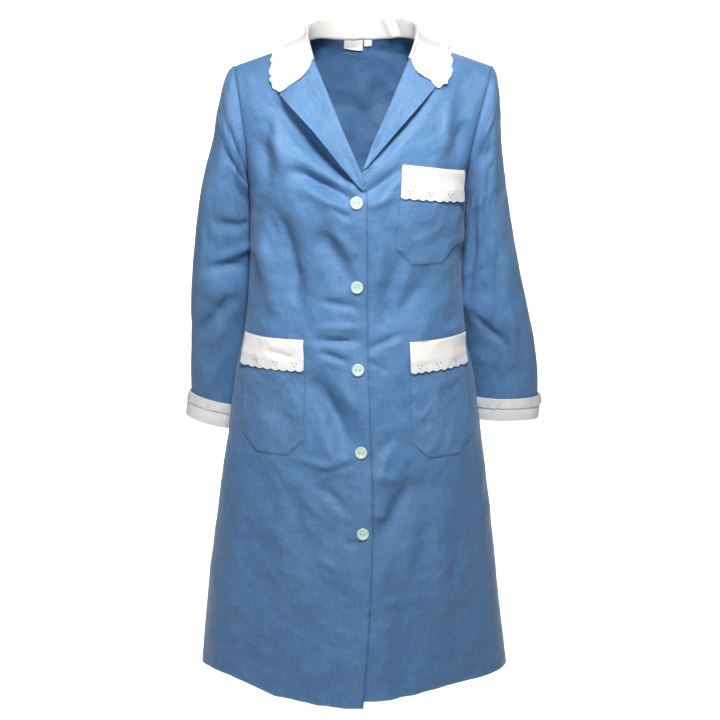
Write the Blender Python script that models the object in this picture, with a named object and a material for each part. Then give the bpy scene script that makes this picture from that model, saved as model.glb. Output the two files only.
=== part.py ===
"""Housekeeping tunic, worn shape with no wearer: a long A-line coat dress in blue cloth.

Metres, +Z up, the front faces -Y and the wearer's left is +X. The origin lies between the two points
where the shoulder seams meet the neckline, which is where a wearer's shoulders hold the garment.
Tables and sizes below are in millimetres.
"""

import math

import bmesh
import bpy
import numpy as np
from mathutils import Matrix, Vector

MM = 0.001

# Cloth and clearances
CLOTH = 1.6
TRIM = 1.1
SEAM_GAP = 0.3
FOLD_GAP = 0.85
FOLD_RIM = 0.7
LAY_GAP = 0.9

# Heights of the main levels
HEM_Z = -992.0
ARMPIT_Z = -205.0
SHOULDER_TIP_Z = -37.0
SHOULDER_CENTRE_Z = 27.0
LAPEL_FOOT_Z = -215.0

# Horizontal sections from hem to armpit: height, centre, half width, front depth, back depth, and
# squareness, where 2 is an ellipse and more is boxier
SECTIONS = (
    (-992.0, -15.5, 249.5, 165.0, 152.0, 1.56),
    (-880.0, -16.5, 236.5, 153.0, 141.0, 1.7),
    (-710.0, -13.5, 214.5, 140.0, 128.0, 1.95),
    (-610.0, -12.0, 200.0, 132.0, 119.0, 2.1),
    (-500.0, -12.0, 184.0, 122.0, 106.0, 2.2),
    (-435.0, -11.5, 170.5, 116.0, 96.0, 2.3),
    (-370.0, -9.0, 164.0, 115.0, 90.0, 2.3),
    (-300.0, -8.0, 162.0, 124.0, 95.0, 2.3),
    (-250.0, -7.0, 162.0, 133.0, 102.0, 2.3),
    (-205.0, -7.0, 163.0, 132.0, 106.0, 2.3),
)
LEFT_HEM_RISE = 10.0
RIGHT_HEM_RISE = 15.0
RIGHT_HEM_RISE_FROM = 0.35
HEM_RISE_SHARE = 0.25

# Shoulders and armholes
SHOULDER_CENTRE_X = 2.0
SHOULDER_HALF = 190.0
SHOULDER_SEAM_Y = 5.0
ARMHOLE_HOLLOW = 4.0
ARMHOLE_FRONT = 52.0
ARMHOLE_BACK = 50.0
SHOULDER_WRAP = 50.0
FRONT_ROUNDING = 0.8
BACK_ROUNDING = 0.45

# Neckline
NECK_HALF = 80.0
NAPE_Y = 66.0

# Centre front line, which carries the buttons: height, x
CENTRE_FRONT = (
    (-992.0, -15.0),
    (-860.0, -5.0),
    (-721.0, 1.0),
    (-598.0, -1.5),
    (-479.0, -6.0),
    (-356.0, -7.5),
    (-215.0, -8.0),
)
LAP_HALF = 16.0
LAP_LIFT = 2.9
LAP_BLEND = 45.0
LAP_FLAT = 8.0

# Inner edges above the lapel foot: height, x of the upper (right) front, x of the under (left) front
BREAK_LINES = (
    (-215.0, 8.0, -24.0),
    (-172.0, -10.0, -3.0),
    (-35.0, -70.0, 68.0),
    (0.0, -80.0, 80.0),
)
GORGE_Z = -33.0

# Lapel outer edges, as height and x, from foot to tip, and where each gorge seam ends, as x and height
LAPEL_EDGES = {
    "right": ((-215.0, 4.0), (-178.0, -30.0), (-132.0, -67.0), (-79.0, -117.0)),
    "left": ((-174.0, 5.0), (-160.0, 21.0), (-140.0, 39.0), (-70.0, 103.0)),
}
GORGE_ENDS = {"right": (-107.0, -71.0), "left": (99.0, -62.0)}
GORGE_SHARE = 0.88
LAPEL_ROWS = 11
LAPEL_ROLL = 2.6
LAPEL_ROLL_SHARE = 0.22
LAPEL_ROLL_TURNS = (40.0, 80.0, 120.0, 160.0)
LAPEL_SHARES = (0.1, 0.32, 0.55, 0.76)
LAPEL_FOOT_ROW = 6.0
LAPEL_FOOT_EDGE = 8.0
LAPEL_REST = 3.0
LAPEL_LIFT = 5.0

# The collar's outer edge from the gorge's end to the shoulder seam: share of the way, x, height
COLLAR_EDGES = {
    "right": ((0.0, -107.0, -71.0), (0.35, -118.0, -54.0), (0.7, -117.0, -33.0), (1.0, -112.0, -11.0)),
    "left": ((0.0, 99.0, -62.0), (0.35, 113.0, -50.0), (0.7, 116.0, -33.0), (1.0, 113.0, -13.0)),
}
# The collar from the shoulder seam to the nape: share of the way, width lying on the back
COLLAR_BACK_WIDTH = ((0.0, 34.0), (0.4, 30.0), (0.75, 24.0), (1.0, 21.0))
COLLAR_STAND = ((0.0, 5.5), (0.3, 9.0), (0.45, 15.0), (0.7, 25.0), (1.0, 29.0))
COLLAR_ROLL = 2.6
COLLAR_REST = 3.2
# The collar stands off a little more over the shoulder seam: height, where, width
COLLAR_RIDGE = (3.2, 1.95, 0.24)
COLLAR_END_SLANT = 0.7
COLLAR_UPRIGHT = (0.5, 1.2)  # shares of the cloth's own direction and of straight up where it stands
COLLAR_STANDS_FROM = 6.0
COLLAR_STANDS_OVER = 12.0
COLLAR_ROLL_POINTS = (
    # inward in rolls, share of the stand's height, taken off it, least height in rolls
    (0.85, 0.0, 0.0, 0.55),
    (1.0, 0.5, 0.0, 1.0),
    (0.75, 1.0, 1.2, 1.6),
    (0.0, 1.0, 0.0, 2.0),
    (-0.9, 1.0, 0.8, 1.8),
)
COLLAR_FALL_SPEED = 1.7
COLLAR_SETTLE_SPEED = 2.4
COLLAR_SETTLE_POWER = 0.8
COLLAR_LACE_SHARES = (0.0, 0.55, 1.0)
COLLAR_LACE_UNEVEN = 1.2
COLLAR_LACE_END_SHARE = 0.3
COLLAR_LACE_END_RISE = 0.6
# Shares of the way from the collar's fold to its edge that carry a column
COLLAR_FALL_SHARES = (0.12, 0.3, 0.5, 0.7, 0.86, 1.0)
COLLAR_SEAM_GAP = 0.9
COLLAR_LACE_WIDTH = 14.0
COLLAR_LACE_WAVES = 30
COLLAR_LACE_RIPPLE = 1.4
COLLAR_LACE_START = 0.35

# Largest folds of the front: start x, start z, end x, end z, half width, depth (a trough is negative)
FRONT_FOLDS = (
    (-112.0, -172.0, -24.0, -226.0, 15.0, -8.0),
    (-128.0, -225.0, -88.0, -440.0, 18.0, -9.0),
    (-64.0, -262.0, -26.0, -360.0, 16.0, -6.0),
    (-76.0, -488.0, -24.0, -610.0, 18.0, -7.0),
    (100.0, -326.0, 34.0, -424.0, 16.0, -7.0),
    (90.0, -640.0, 28.0, -755.0, 20.0, -6.0),
    (-142.0, -85.0, -134.0, -200.0, 15.0, -6.0),
    (150.0, -75.0, 136.0, -170.0, 15.0, -6.0),
)
FOLD_SWELL_POWER = 0.7
# Folds die out towards the side seams by this power and over the last quarter of the rows
FOLD_SIDE_POWER = 6
FOLD_TOP_FADE = 4
# Largest folds of the back, in the same columns
BACK_FOLDS = (
    (-128.0, -150.0, -75.0, -330.0, 18.0, -9.0),
    (118.0, -145.0, 70.0, -320.0, 18.0, -8.0),
    (-100.0, -355.0, 10.0, -398.0, 17.0, -7.0),
    (98.0, -345.0, 5.0, -410.0, 17.0, -6.0),
    (-60.0, -430.0, -85.0, -780.0, 26.0, -9.0),
    (62.0, -440.0, 92.0, -810.0, 26.0, -8.0),
)
HEM_FLUTES = 5
HEM_FLUTE_PHASE = 0.9
HEM_FLUTE_POWER = 1.5
HEM_FLUTE_DEPTH = 5.0
HEM_FLUTE_TOP_Z = -430.0

# Sleeve sections below the armhole: outer x, outer z, gap to the body, inner z, centre y, half depth
SLEEVES = {
    "left": (
        (198.0, -43.0, 2.2, -202.6, 0.0, 55.0),
        (202.0, -58.0, 4.4, -206.0, 0.5, 58.0),
        (206.0, -92.0, 2.6, -224.0, 3.0, 60.0),
        (210.0, -138.0, 2.0, -246.0, 8.0, 61.0),
        (216.0, -192.0, 1.8, -276.0, 14.0, 61.0),
        (228.0, -262.0, 1.8, -316.0, 20.0, 59.0),
        (243.0, -335.0, 1.8, -364.0, 26.0, 56.0),
        (259.0, -400.0, 3.0, -412.0, 33.0, 52.0),
        (272.0, -455.0, 5.0, -460.0, 41.0, 47.0),
        (281.0, -510.0, 6.0, -512.0, 49.0, 39.5),
        (284.0, -560.0, 7.0, -560.0, 55.0, 37.5),
    ),
    "right": (
        (-198.0, -43.0, 2.2, -202.6, 0.0, 55.0),
        (-205.0, -58.0, 4.4, -206.0, 0.5, 58.0),
        (-214.0, -92.0, 2.6, -224.0, 3.0, 60.0),
        (-223.0, -138.0, 2.0, -246.0, 8.0, 61.0),
        (-238.0, -192.0, 1.8, -276.0, 14.0, 61.0),
        (-253.0, -262.0, 1.8, -316.0, 22.0, 58.0),
        (-263.0, -335.0, 1.8, -364.0, 32.0, 55.0),
        (-268.5, -400.0, 2.5, -409.0, 45.0, 49.0),
        (-272.0, -455.0, 4.0, -464.0, 57.0, 44.0),
        (-276.0, -510.0, 7.0, -524.0, 67.0, 37.5),
        (-278.0, -560.0, 9.5, -581.0, 77.0, 35.5),
    ),
}
SLEEVE_RING_PLACES = (0, 1, 2, 3, 4, 5, 6, 6.5, 7, 7.5, 8, 8.5, 9, 10, 11)
# Sleeve folds: side, ring share, turn share, ring width, turn width, depth
SLEEVE_FOLDS = (
    ("right", 0.36, 0.17, 0.06, 0.12, -8.0),
    ("right", 0.58, 0.20, 0.05, 0.13, -8.0),
    ("right", 0.68, 0.30, 0.05, 0.14, 5.0),
    ("right", 0.60, 0.78, 0.06, 0.12, -7.0),
    ("left", 0.42, 0.30, 0.12, 0.05, 5.0),
    ("left", 0.62, 0.20, 0.14, 0.06, -8.0),
    ("left", 0.84, 0.24, 0.06, 0.09, -5.0),
    ("left", 0.58, 0.80, 0.06, 0.12, -7.0),
)
SLEEVE_FOLD_FADES = (4, 6)  # from the armhole and from the cuff

# Cuffs, which start a little above each sleeve's end and run on from it
CUFF_OVERLAP = 7.0
CUFF_LACE_FLARE = 0.6
CUFF_LENGTH = {"left": 38.0, "right": 42.0}
CUFF_EASE = 3.0
CUFF_DRIFT = 0.17
CUFF_RINGS = 4
CUFF_LACE_DEPTH = 13.0
CUFF_LACE_SCALLOPS = 14

# Patch pockets: x and z of the band's top corners, the two side lengths, and the cut corner's size.
# Columns: inner top x, inner top z, outer top x, outer top z, inner foot x, outer foot x, foot z, corner
POCKETS = {
    "chest": (57.0, -176.0, 147.0, -187.0, 46.0, 140.0, -320.0, 26.0),
    "hip_left": (69.0, -436.0, 151.0, -433.0, 74.0, 170.0, -612.0, 26.0),
    "hip_right": (-85.0, -432.0, -174.0, -433.0, -85.0, -184.0, -606.0, 26.0),
}
POCKET_CLOTH = 1.2
POCKET_EASE = 2.0
POCKET_EASE_POWER = 0.7
POCKET_OUTER_EASE = 0.4
BAND_GAP = 0.7
BAND_DEPTH = 29.0
LACE_DEPTH = 15.0
LACE_LIFT = 2.0
POCKET_COLUMNS = 8
SCALLOP_DEPTH = 3.0

# Buttons
BUTTON_TOP_Z = -228.0
BUTTON_PITCH = 123.3
# How much each button settles into the cloth, from the top one down
BUTTON_SETTLE = (0.5, 0.0, 0.2, 0.2, 0.2)
BUTTON_RADIUS = 9.8
BUTTON_THICK = 3.2
BUTTON_RIM = 0.9
BUTTON_HOLE = 1.0
BUTTON_HOLE_SPACING = 4.4

# Labels inside the back neck: centre x, width, height, gap from the back's inside
NECK_LABEL = (-13.0, 29.0, 13.0, 1.8)
SIZE_TAG = (9.5, 12.0, 8.0, 1.4)
LABEL_FALL = 0.0045
LABEL_SEAM_Y = 1.5
LABEL_SWING = 0.8

# Mesh density
FRONT_COLUMNS = 10
BACK_SIDE_COLUMNS = 5
BACK_NECK_COLUMNS = 8
LOWER_ROWS = 19
UPPER_ROWS = 11
SLEEVE_TURNS = 2 * UPPER_ROWS
COLLAR_FRONT_STATIONS = 5
DIFFERENCE = 0.002

COLOURS = {
    "blue": (0.150, 0.290, 0.545, 1.0),
    "white": (0.86, 0.84, 0.80, 1.0),
    "pearl": (0.66, 0.82, 0.74, 1.0),
}


def smooth(rows, column, at):
    """A smooth curve through one column of a table whose first column rises."""
    table = np.asarray(rows, float)
    knots = table[:, 0]
    values = table[:, column]
    slopes = np.gradient(values, knots)
    at = np.asarray(at, float)
    i = np.clip(np.searchsorted(knots, at) - 1, 0, len(knots) - 2)
    step = knots[i + 1] - knots[i]
    t = np.clip((at - knots[i]) / step, 0.0, 1.0)
    return (
        values[i] * (2 * t**3 - 3 * t**2 + 1)
        + slopes[i] * step * (t**3 - 2 * t**2 + t)
        + values[i + 1] * (3 * t**2 - 2 * t**3)
        + slopes[i + 1] * step * (t**3 - t**2)
    )


def straight(rows, column, at):
    """Straight runs through one column of a table whose first column rises."""
    table = np.asarray(rows, float)
    return np.interp(at, table[:, 0], table[:, column])


def rounded_square(angle, squareness):
    """Across and along shares of a rounded square outline at an angle from the front."""
    s = np.sin(angle)
    c = np.cos(angle)
    size = (np.abs(s) ** squareness + np.abs(c) ** squareness) ** (1 / squareness)
    return s / size, c / size


def signed_power(base, power):
    return np.sign(base) * np.abs(base) ** power


def figure(across, up):
    """A point of the worn shape.

    across runs from -1 to 1 between the side seams or armholes. up is 0 at the front hem, 1 at the
    armpit, 2 on the shoulder seam, 3 at the armpit behind and 4 at the back hem.
    """
    across, up = np.broadcast_arrays(np.asarray(across, float), np.asarray(up, float))
    behind = up > 2
    row = np.where(behind, 4 - up, up)
    sign = np.where(behind, 1.0, -1.0)
    z_low = HEM_Z + (ARMPIT_Z - HEM_Z) * np.clip(row, 0, 1)
    depth = np.where(behind, smooth(SECTIONS, 4, z_low), smooth(SECTIONS, 3, z_low))
    half = smooth(SECTIONS, 2, z_low)
    centre = smooth(SECTIONS, 1, z_low)
    rise = np.clip(row - 1, 0, None)
    arch = np.cos(np.pi / 2 * rise)
    gain = 1 - arch**2
    half_end = half + (SHOULDER_HALF - half) * gain - ARMHOLE_HOLLOW * np.sin(np.pi * gain)
    centre = centre + (SHOULDER_CENTRE_X - centre) * gain
    wrap = np.radians(90 - SHOULDER_WRAP * gain)
    squareness = smooth(SECTIONS, 5, z_low)
    x_end, y_end = rounded_square(wrap, squareness)
    x_here, y_here = rounded_square(across * wrap, squareness)
    share_x = x_here / x_end
    share_y = (y_here - y_end) / (1 - y_end)
    rounding = np.where(behind, BACK_ROUNDING, FRONT_ROUNDING)
    y_centre = SHOULDER_SEAM_Y + (sign * depth - SHOULDER_SEAM_Y) * signed_power(arch, rounding)
    reach = np.where(behind, ARMHOLE_BACK, ARMHOLE_FRONT)
    y_edge = sign * reach * np.sin(np.pi * rise)
    z_centre = z_low + (SHOULDER_CENTRE_Z - ARMPIT_Z) * gain
    z_edge = z_low + (SHOULDER_TIP_Z - ARMPIT_Z) * gain
    fall = np.abs(share_x) ** (3 - 2 * gain)
    x = centre + half_end * share_x
    y = y_edge + (y_centre - y_edge) * share_y
    z = z_edge + (z_centre - z_edge) * (1 - fall)
    return np.stack([x, y, z], axis=-1)


def normalised(vectors):
    return vectors / np.maximum(np.linalg.norm(vectors, axis=-1, keepdims=True), 1e-12)


def figure_normal(across, up):
    """The outward direction of the worn shape. A seam has one direction for both its pieces."""
    across, up = np.broadcast_arrays(np.asarray(across, float), np.asarray(up, float))
    low = np.clip(up - DIFFERENCE, 0, 4)
    high = np.clip(up + DIFFERENCE, 0, 4)
    step_up = figure(across, high) - figure(across, low)
    step_across = figure(across + DIFFERENCE, up) - figure(across - DIFFERENCE, up)
    return normalised(np.cross(step_across, step_up))


def fold_depth(points, folds):
    depth = np.zeros(points.shape[:-1])
    for x0, z0, x1, z1, half_width, height in folds:
        run = np.array([x1 - x0, z1 - z0])
        length = np.linalg.norm(run)
        along = ((points[..., 0] - x0) * run[0] + (points[..., 2] - z0) * run[1]) / length**2
        off = ((points[..., 0] - x0) * run[1] - (points[..., 2] - z0) * run[0]) / length
        swell = np.sin(np.pi * np.clip(along, 0, 1)) ** FOLD_SWELL_POWER
        depth += height * swell * np.exp(-((off / half_width) ** 2))
    return depth


def drape(across, up, points):
    """How far the cloth stands out of the plain worn shape."""
    across, up = np.broadcast_arrays(np.asarray(across, float), np.asarray(up, float))
    behind = up > 2
    folds = np.where(behind, fold_depth(points, BACK_FOLDS), fold_depth(points, FRONT_FOLDS))
    row = np.where(behind, 4 - up, up)
    fade = (1 - np.abs(across) ** FOLD_SIDE_POWER) * np.clip((2 - row) * FOLD_TOP_FADE, 0, 1)
    turn = np.where(behind, np.pi - across * np.pi / 2, across * np.pi / 2)
    level = np.clip((HEM_FLUTE_TOP_Z - points[..., 2]) / (HEM_FLUTE_TOP_Z - HEM_Z), 0, 1)
    flutes = HEM_FLUTE_DEPTH * level**HEM_FLUTE_POWER * np.sin(HEM_FLUTES * turn + HEM_FLUTE_PHASE)
    return folds * fade + flutes


def cloth(across, up, offset=0.0):
    """Points of the draped outer surface, moved out by an offset."""
    points = figure(across, up)
    lift = drape(across, up, points) + offset
    return points + figure_normal(across, up) * np.asarray(lift)[..., None]


def locate(x, other, axis, behind=False):
    """Across and up where the worn shape has this x and this z (axis 2) or y (axis 1)."""
    x = np.asarray(x, float)
    other = np.asarray(other, float)
    across = np.clip(x / SHOULDER_HALF * 0.8, -0.9, 0.9)
    if axis == 2:
        share = np.clip((other - ARMPIT_Z) / (-ARMPIT_Z), 0, 0.9)
        below = (other - HEM_Z) / (ARMPIT_Z - HEM_Z)
        rise = 1 + 2 / np.pi * np.arcsin(np.sqrt(share))
        up = np.where(other < ARMPIT_Z, below, rise)
    else:
        up = np.full(x.shape, 1.6)
    step = 1e-4
    for _ in range(40):
        here = figure(across, 4 - up if behind else up)
        by_across = (figure(across + step, 4 - up if behind else up) - here) / step
        by_up = (figure(across, 4 - up - step if behind else up + step) - here) / step
        miss_x = x - here[..., 0]
        miss = other - here[..., axis]
        cross = by_across[..., 0] * by_up[..., axis] - by_up[..., 0] * by_across[..., axis]
        cross = np.where(np.abs(cross) < 1e-6, 1e-6, cross)
        move_across = (miss_x * by_up[..., axis] - by_up[..., 0] * miss) / cross
        move_up = (by_across[..., 0] * miss - miss_x * by_across[..., axis]) / cross
        across = across + np.clip(move_across, -0.1, 0.1)
        up = np.clip(up + np.clip(move_up, -0.1, 0.1), 0.0, 2.0)
    return across, 4 - up if behind else up


def link(name, mesh, colour, roughness=0.85):
    material = bpy.data.materials.get(colour)
    if material is None:
        material = bpy.data.materials.new(colour)
        material.use_nodes = True
        shader = material.node_tree.nodes["Principled BSDF"]
        shader.inputs["Base Color"].default_value = COLOURS[colour]
        shader.inputs["Roughness"].default_value = roughness
        shader.inputs["Metallic"].default_value = 0.0
    mesh.materials.append(material)
    made = bpy.data.objects.new(name, mesh)
    garment.objects.link(made)
    return made


def wall(name, outer, inner, colour, around=False):
    """A closed cloth wall between two grids of points. around joins the last column to the first."""
    rows, columns = outer.shape[:2]
    points = np.concatenate([outer.reshape(-1, 3), inner.reshape(-1, 3)]) * MM
    back = rows * columns
    spans = columns if around else columns - 1

    def at(row, column, side):
        return side * back + row * columns + column % columns

    faces = []
    for r in range(rows - 1):
        for c in range(spans):
            ring = [(r, c), (r, c + 1), (r + 1, c + 1), (r + 1, c)]
            faces.append([at(i, j, 0) for i, j in ring])
            faces.append([at(i, j, 1) for i, j in reversed(ring)])
    for c in range(spans):
        faces.append([at(0, c + 1, 0), at(0, c, 0), at(0, c, 1), at(0, c + 1, 1)])
        last = rows - 1
        faces.append([at(last, c, 0), at(last, c + 1, 0), at(last, c + 1, 1), at(last, c, 1)])
    if not around:
        for r in range(rows - 1):
            end = columns - 1
            faces.append([at(r, 0, 0), at(r + 1, 0, 0), at(r + 1, 0, 1), at(r, 0, 1)])
            faces.append([at(r + 1, end, 0), at(r, end, 0), at(r, end, 1), at(r + 1, end, 1)])
    mesh = bpy.data.meshes.new(name)
    mesh.from_pydata([tuple(p) for p in points], [], faces)
    working = bmesh.new()
    working.from_mesh(mesh)
    bmesh.ops.recalc_face_normals(working, faces=working.faces)
    working.to_mesh(mesh)
    working.free()
    mesh.shade_smooth()
    mesh.set_sharp_from_angle(angle=math.radians(40))
    return link(name, mesh, colour)


def grid_normals(grid, around=False):
    """The direction of each point of a grid, from its neighbours."""
    by_row = np.gradient(grid, axis=0)
    if around:
        by_column = np.roll(grid, -1, axis=1) - np.roll(grid, 1, axis=1)
    else:
        by_column = np.gradient(grid, axis=1)
    return normalised(np.cross(by_column, by_row))


def both_sides(grid, thickness):
    """Outer and inner grids half a thickness either side of a middle surface."""
    normals = grid_normals(grid)
    return grid + normals * thickness / 2, grid - normals * thickness / 2


# Fronts

def lapped_lift(x, z, side):
    """The right front lies over the left one, so it stands out along the centre front."""
    if side < 0:
        from_centre = x - straight(CENTRE_FRONT, 1, z)
        share = np.clip((from_centre + LAP_HALF + LAP_FLAT + LAP_BLEND) / LAP_BLEND, 0, 1)
        return LAP_LIFT * share * share * (3 - 2 * share)
    return np.zeros_like(x)


def front_edge_x(z, side):
    """x of a front's free edge: the lapped edge below the lapel foot and the break line above it."""
    lapped = straight(CENTRE_FRONT, 1, z) - side * LAP_HALF
    broken = straight(BREAK_LINES, 1 if side < 0 else 2, z)
    return np.where(z < LAPEL_FOOT_Z, lapped, broken)


def across_at(up, side, x_of_z):
    """across where each row of a front meets a line given as x for a height, found by halving."""
    low = np.full(up.shape, -0.5)
    high = np.full(up.shape, 1.0)
    for _ in range(40):
        middle = (low + high) / 2
        here = figure(middle * side, up)
        inside = (here[..., 0] - x_of_z(here[..., 2])) * side < 0
        low = np.where(inside, middle, low)
        high = np.where(inside, high, middle)
    return (low + high) / 2 * side


def front_edge_across(up, side):
    return across_at(up, side, lambda z: front_edge_x(z, side))


def gorge_row(side):
    """up where the free edge is at the height of the gorge."""
    low, high = 1.0, 2.0
    for _ in range(40):
        middle = (low + high) / 2
        across = front_edge_across(np.array([middle]), side)
        below = figure(across, np.array([middle]))[0, 2] < GORGE_Z
        low, high = (middle, high) if below else (low, middle)
    return (low + high) / 2


def panel_rows():
    """Rows from the hem to the shoulder, the same on every body panel and on the sleeves' seams."""
    lower = np.linspace(0, 1, LOWER_ROWS + 1)
    upper = np.linspace(1, 2, UPPER_ROWS + 1)
    return np.concatenate([lower, upper[1:]])


def front_grid(side):
    """A front's columns: two strips of half the lap's width, which both fronts share, then even ones."""
    rows = panel_rows()
    strips = [
        across_at(rows, side, lambda z, more=more: front_edge_x(z, side) + side * more)
        for more in (0.0, LAP_HALF, 2 * LAP_HALF)
    ]
    share = np.linspace(0, 1, FRONT_COLUMNS + 1)[1:]
    rest = strips[2][:, None] + (side - strips[2][:, None]) * share[None, :]
    across = np.concatenate([np.stack(strips, axis=1), rest], axis=1)
    up = np.repeat(rows[:, None], across.shape[1], axis=1)
    # The left hem rises towards the centre front, and the right one halfway to its side seam
    if side > 0:
        rise = LEFT_HEM_RISE * (1 - np.abs(across) ** 2)
    else:
        share = (np.abs(across) - RIGHT_HEM_RISE_FROM) / (1 - RIGHT_HEM_RISE_FROM)
        rise = RIGHT_HEM_RISE * np.sin(np.pi * np.clip(share, 0, 1))
    fade = np.clip(1 - rows[:, None] / HEM_RISE_SHARE, 0, 1)
    return across, up + rise / (ARMPIT_Z - HEM_Z) * fade


def panel(name, across, up, lift, seam_shift):
    """A body panel as a wall just inside the draped surface."""
    outer = cloth(across, up, lift) + seam_shift
    inner = cloth(across, up, lift - CLOTH) + seam_shift
    return wall(name, outer, inner, "blue")


def front(name, side):
    across, up = front_grid(side)
    points = figure(across, up)
    lift = lapped_lift(points[..., 0], points[..., 2], side)
    shift = np.zeros(points.shape)
    shift[:, -1, 1] = -SEAM_GAP / 2
    shift[-1, :, 1] = -SEAM_GAP / 2
    panel(name, across, up, lift, shift)


# Back

def neckline_up(across):
    """up where the back ends: on the shoulder seam, or on the neckline's arc between its ends."""
    low = np.full(across.shape, 1.2)
    high = np.full(across.shape, 2.0)
    for _ in range(40):
        middle = (low + high) / 2
        here = figure(across, 4 - middle)
        out = (here[..., 0] / NECK_HALF) ** 2 + (here[..., 1] / NAPE_Y) ** 2 > 1
        low = np.where(out, middle, low)
        high = np.where(out, high, middle)
    return 4 - high


def neck_point_across(side):
    """across of the neck point on the shoulder seam."""
    low, high = 0.0, 1.0
    for _ in range(40):
        middle = (low + high) / 2
        inside = figure(middle * side, 2.0)[0] * side < NECK_HALF
        low, high = (middle, high) if inside else (low, middle)
    return (low + high) / 2 * side


def neck_columns():
    turns = np.linspace(-1, 1, BACK_NECK_COLUMNS + 1)
    spread = np.sin(turns * np.pi / 2)
    left = neck_point_across(1)
    right = neck_point_across(-1)
    return (left + right) / 2 + (left - right) / 2 * spread


def back():
    neck = neck_columns()
    side_share = np.linspace(0, 1, BACK_SIDE_COLUMNS + 1)[:-1]
    right = -1 + (neck[0] + 1) * side_share
    left = 1 - (1 - neck[-1]) * side_share[::-1]
    across = np.concatenate([right, neck, left])
    top = np.concatenate([np.full(len(right), 2.0), neckline_up(neck), np.full(len(left), 2.0)])
    top[len(right)] = 2.0
    top[len(right) + len(neck) - 1] = 2.0
    lower = np.linspace(4, 3, LOWER_ROWS + 1)[:-1]
    share = np.linspace(0, 1, UPPER_ROWS + 1)
    upper = 3 + (top[None, :] - 3) * share[:, None]
    up = np.concatenate([np.repeat(lower[:, None], len(across), axis=1), upper])
    grid = np.repeat(across[None, :], len(up), axis=0)
    shift = np.zeros(grid.shape + (3,))
    shift[:, 0, 1] = SEAM_GAP / 2
    shift[:, -1, 1] = SEAM_GAP / 2
    on_seam = top == 2.0
    shift[-1, on_seam, 1] = SEAM_GAP / 2
    # up just above 2 keeps the seam row on the back's own side
    panel("back", grid, np.maximum(up, 2.0 + 1e-9), 0.0, shift)


# Sleeves

def armhole(side):
    """The armhole edge from the armpit up the front, over the shoulder tip and down the back."""
    turn = np.arange(SLEEVE_TURNS) / SLEEVE_TURNS
    up = np.where(turn <= 0.5, 1 + 2 * turn, 2 + 2 * (turn - 0.5))
    edge = cloth(np.full(turn.shape, float(side)), up)
    normal = figure_normal(np.full(turn.shape, float(side)), up)
    tangent = normalised(np.roll(edge, -1, axis=0) - np.roll(edge, 1, axis=0))
    away = normalised(np.cross(tangent, normal)) * side
    return edge + away * SEAM_GAP, normal


def body_side_x(side, z, y):
    """x of the plain worn shape's side at a height and a depth, below the armpit."""
    level = min(z, ARMPIT_Z)
    depth = float(smooth(SECTIONS, 4 if y > 0 else 3, level))
    squareness = float(smooth(SECTIONS, 5, level))
    half = float(smooth(SECTIONS, 2, level))
    reach = (1 - min(abs(y) / depth, 0.99) ** squareness) ** (1 / squareness)
    return float(smooth(SECTIONS, 1, level)) + side * half * reach


def sleeve_ends(side, place):
    """The outer point, inner point, centre y and half depth of a sleeve at a place down its table."""
    table = SLEEVES["left" if side > 0 else "right"]
    rows = [(float(i),) + row for i, row in enumerate(table)]
    outer_x, outer_z, gap, inner_z, centre_y, half_depth = (
        float(smooth(rows, column, place)) for column in range(1, 7)
    )
    # The inner side stands its gap clear of the body all along its curve
    clear = []
    for share in np.linspace(-0.9, 0.9, 19):
        bulge = (1 - math.sqrt(1 - share * share)) / 2
        body_x = side * body_side_x(side, inner_z, centre_y + share * half_depth) + gap
        clear.append((body_x - side * outer_x * bulge) / (1 - bulge))
    return outer_x, outer_z, side * max(clear), inner_z, centre_y, half_depth


def oval(ends, turn, ease=0.0, down=0.0):
    """Points of a ring through an outer and an inner point, with the front at a quarter turn."""
    outer_x, outer_z, inner_x, inner_z, centre_y, half_depth = ends
    angle = 2 * np.pi * np.asarray(turn, float)
    arm = np.array([(outer_x - inner_x) / 2, 0.0, (outer_z - inner_z) / 2])
    arm = arm * (1 + ease / np.linalg.norm(arm))
    middle = np.array([(outer_x + inner_x) / 2, centre_y, (outer_z + inner_z) / 2])
    depth = np.array([0.0, -half_depth - ease, 0.0])
    along = np.array([-arm[2], 0.0, arm[0]])
    along = along / np.linalg.norm(along) * -np.sign(arm[0]) + np.array([0.0, CUFF_DRIFT, 0.0])
    down = np.broadcast_to(down, angle.shape)
    ring = middle - np.cos(angle)[:, None] * arm + np.sin(angle)[:, None] * depth
    return ring + down[:, None] * along


def sleeve_surface(side):
    """Rings of the sleeve from the armhole down, with its folds, and their outward directions."""
    turn = np.arange(SLEEVE_TURNS) / SLEEVE_TURNS
    start, start_normal = armhole(side)
    rings = [start]
    for place in SLEEVE_RING_PLACES[1:]:
        rings.append(oval(sleeve_ends(side, place - 1), turn))
    rings = np.array(rings)
    normals = -side * grid_normals(rings, around=True)
    normals[0] = start_normal
    name = "left" if side > 0 else "right"
    share = (np.array(SLEEVE_RING_PLACES) / SLEEVE_RING_PLACES[-1])[:, None]
    crease = np.zeros(rings.shape[:2])
    for fold_side, ring, around, ring_width, turn_width, height in SLEEVE_FOLDS:
        if fold_side == name:
            near = ((share - ring) / ring_width) ** 2 + ((turn - around) / turn_width) ** 2
            crease += height * np.exp(-near)
    from_top, from_cuff = SLEEVE_FOLD_FADES
    crease *= np.clip(share * from_top, 0, 1) * np.clip((1 - share) * from_cuff, 0, 1)
    return rings + normals * crease[..., None], normals


def sleeve(name, side):
    rings, normals = sleeve_surface(side)
    wall(name, rings, rings - normals * CLOTH, "blue", around=True)


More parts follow.
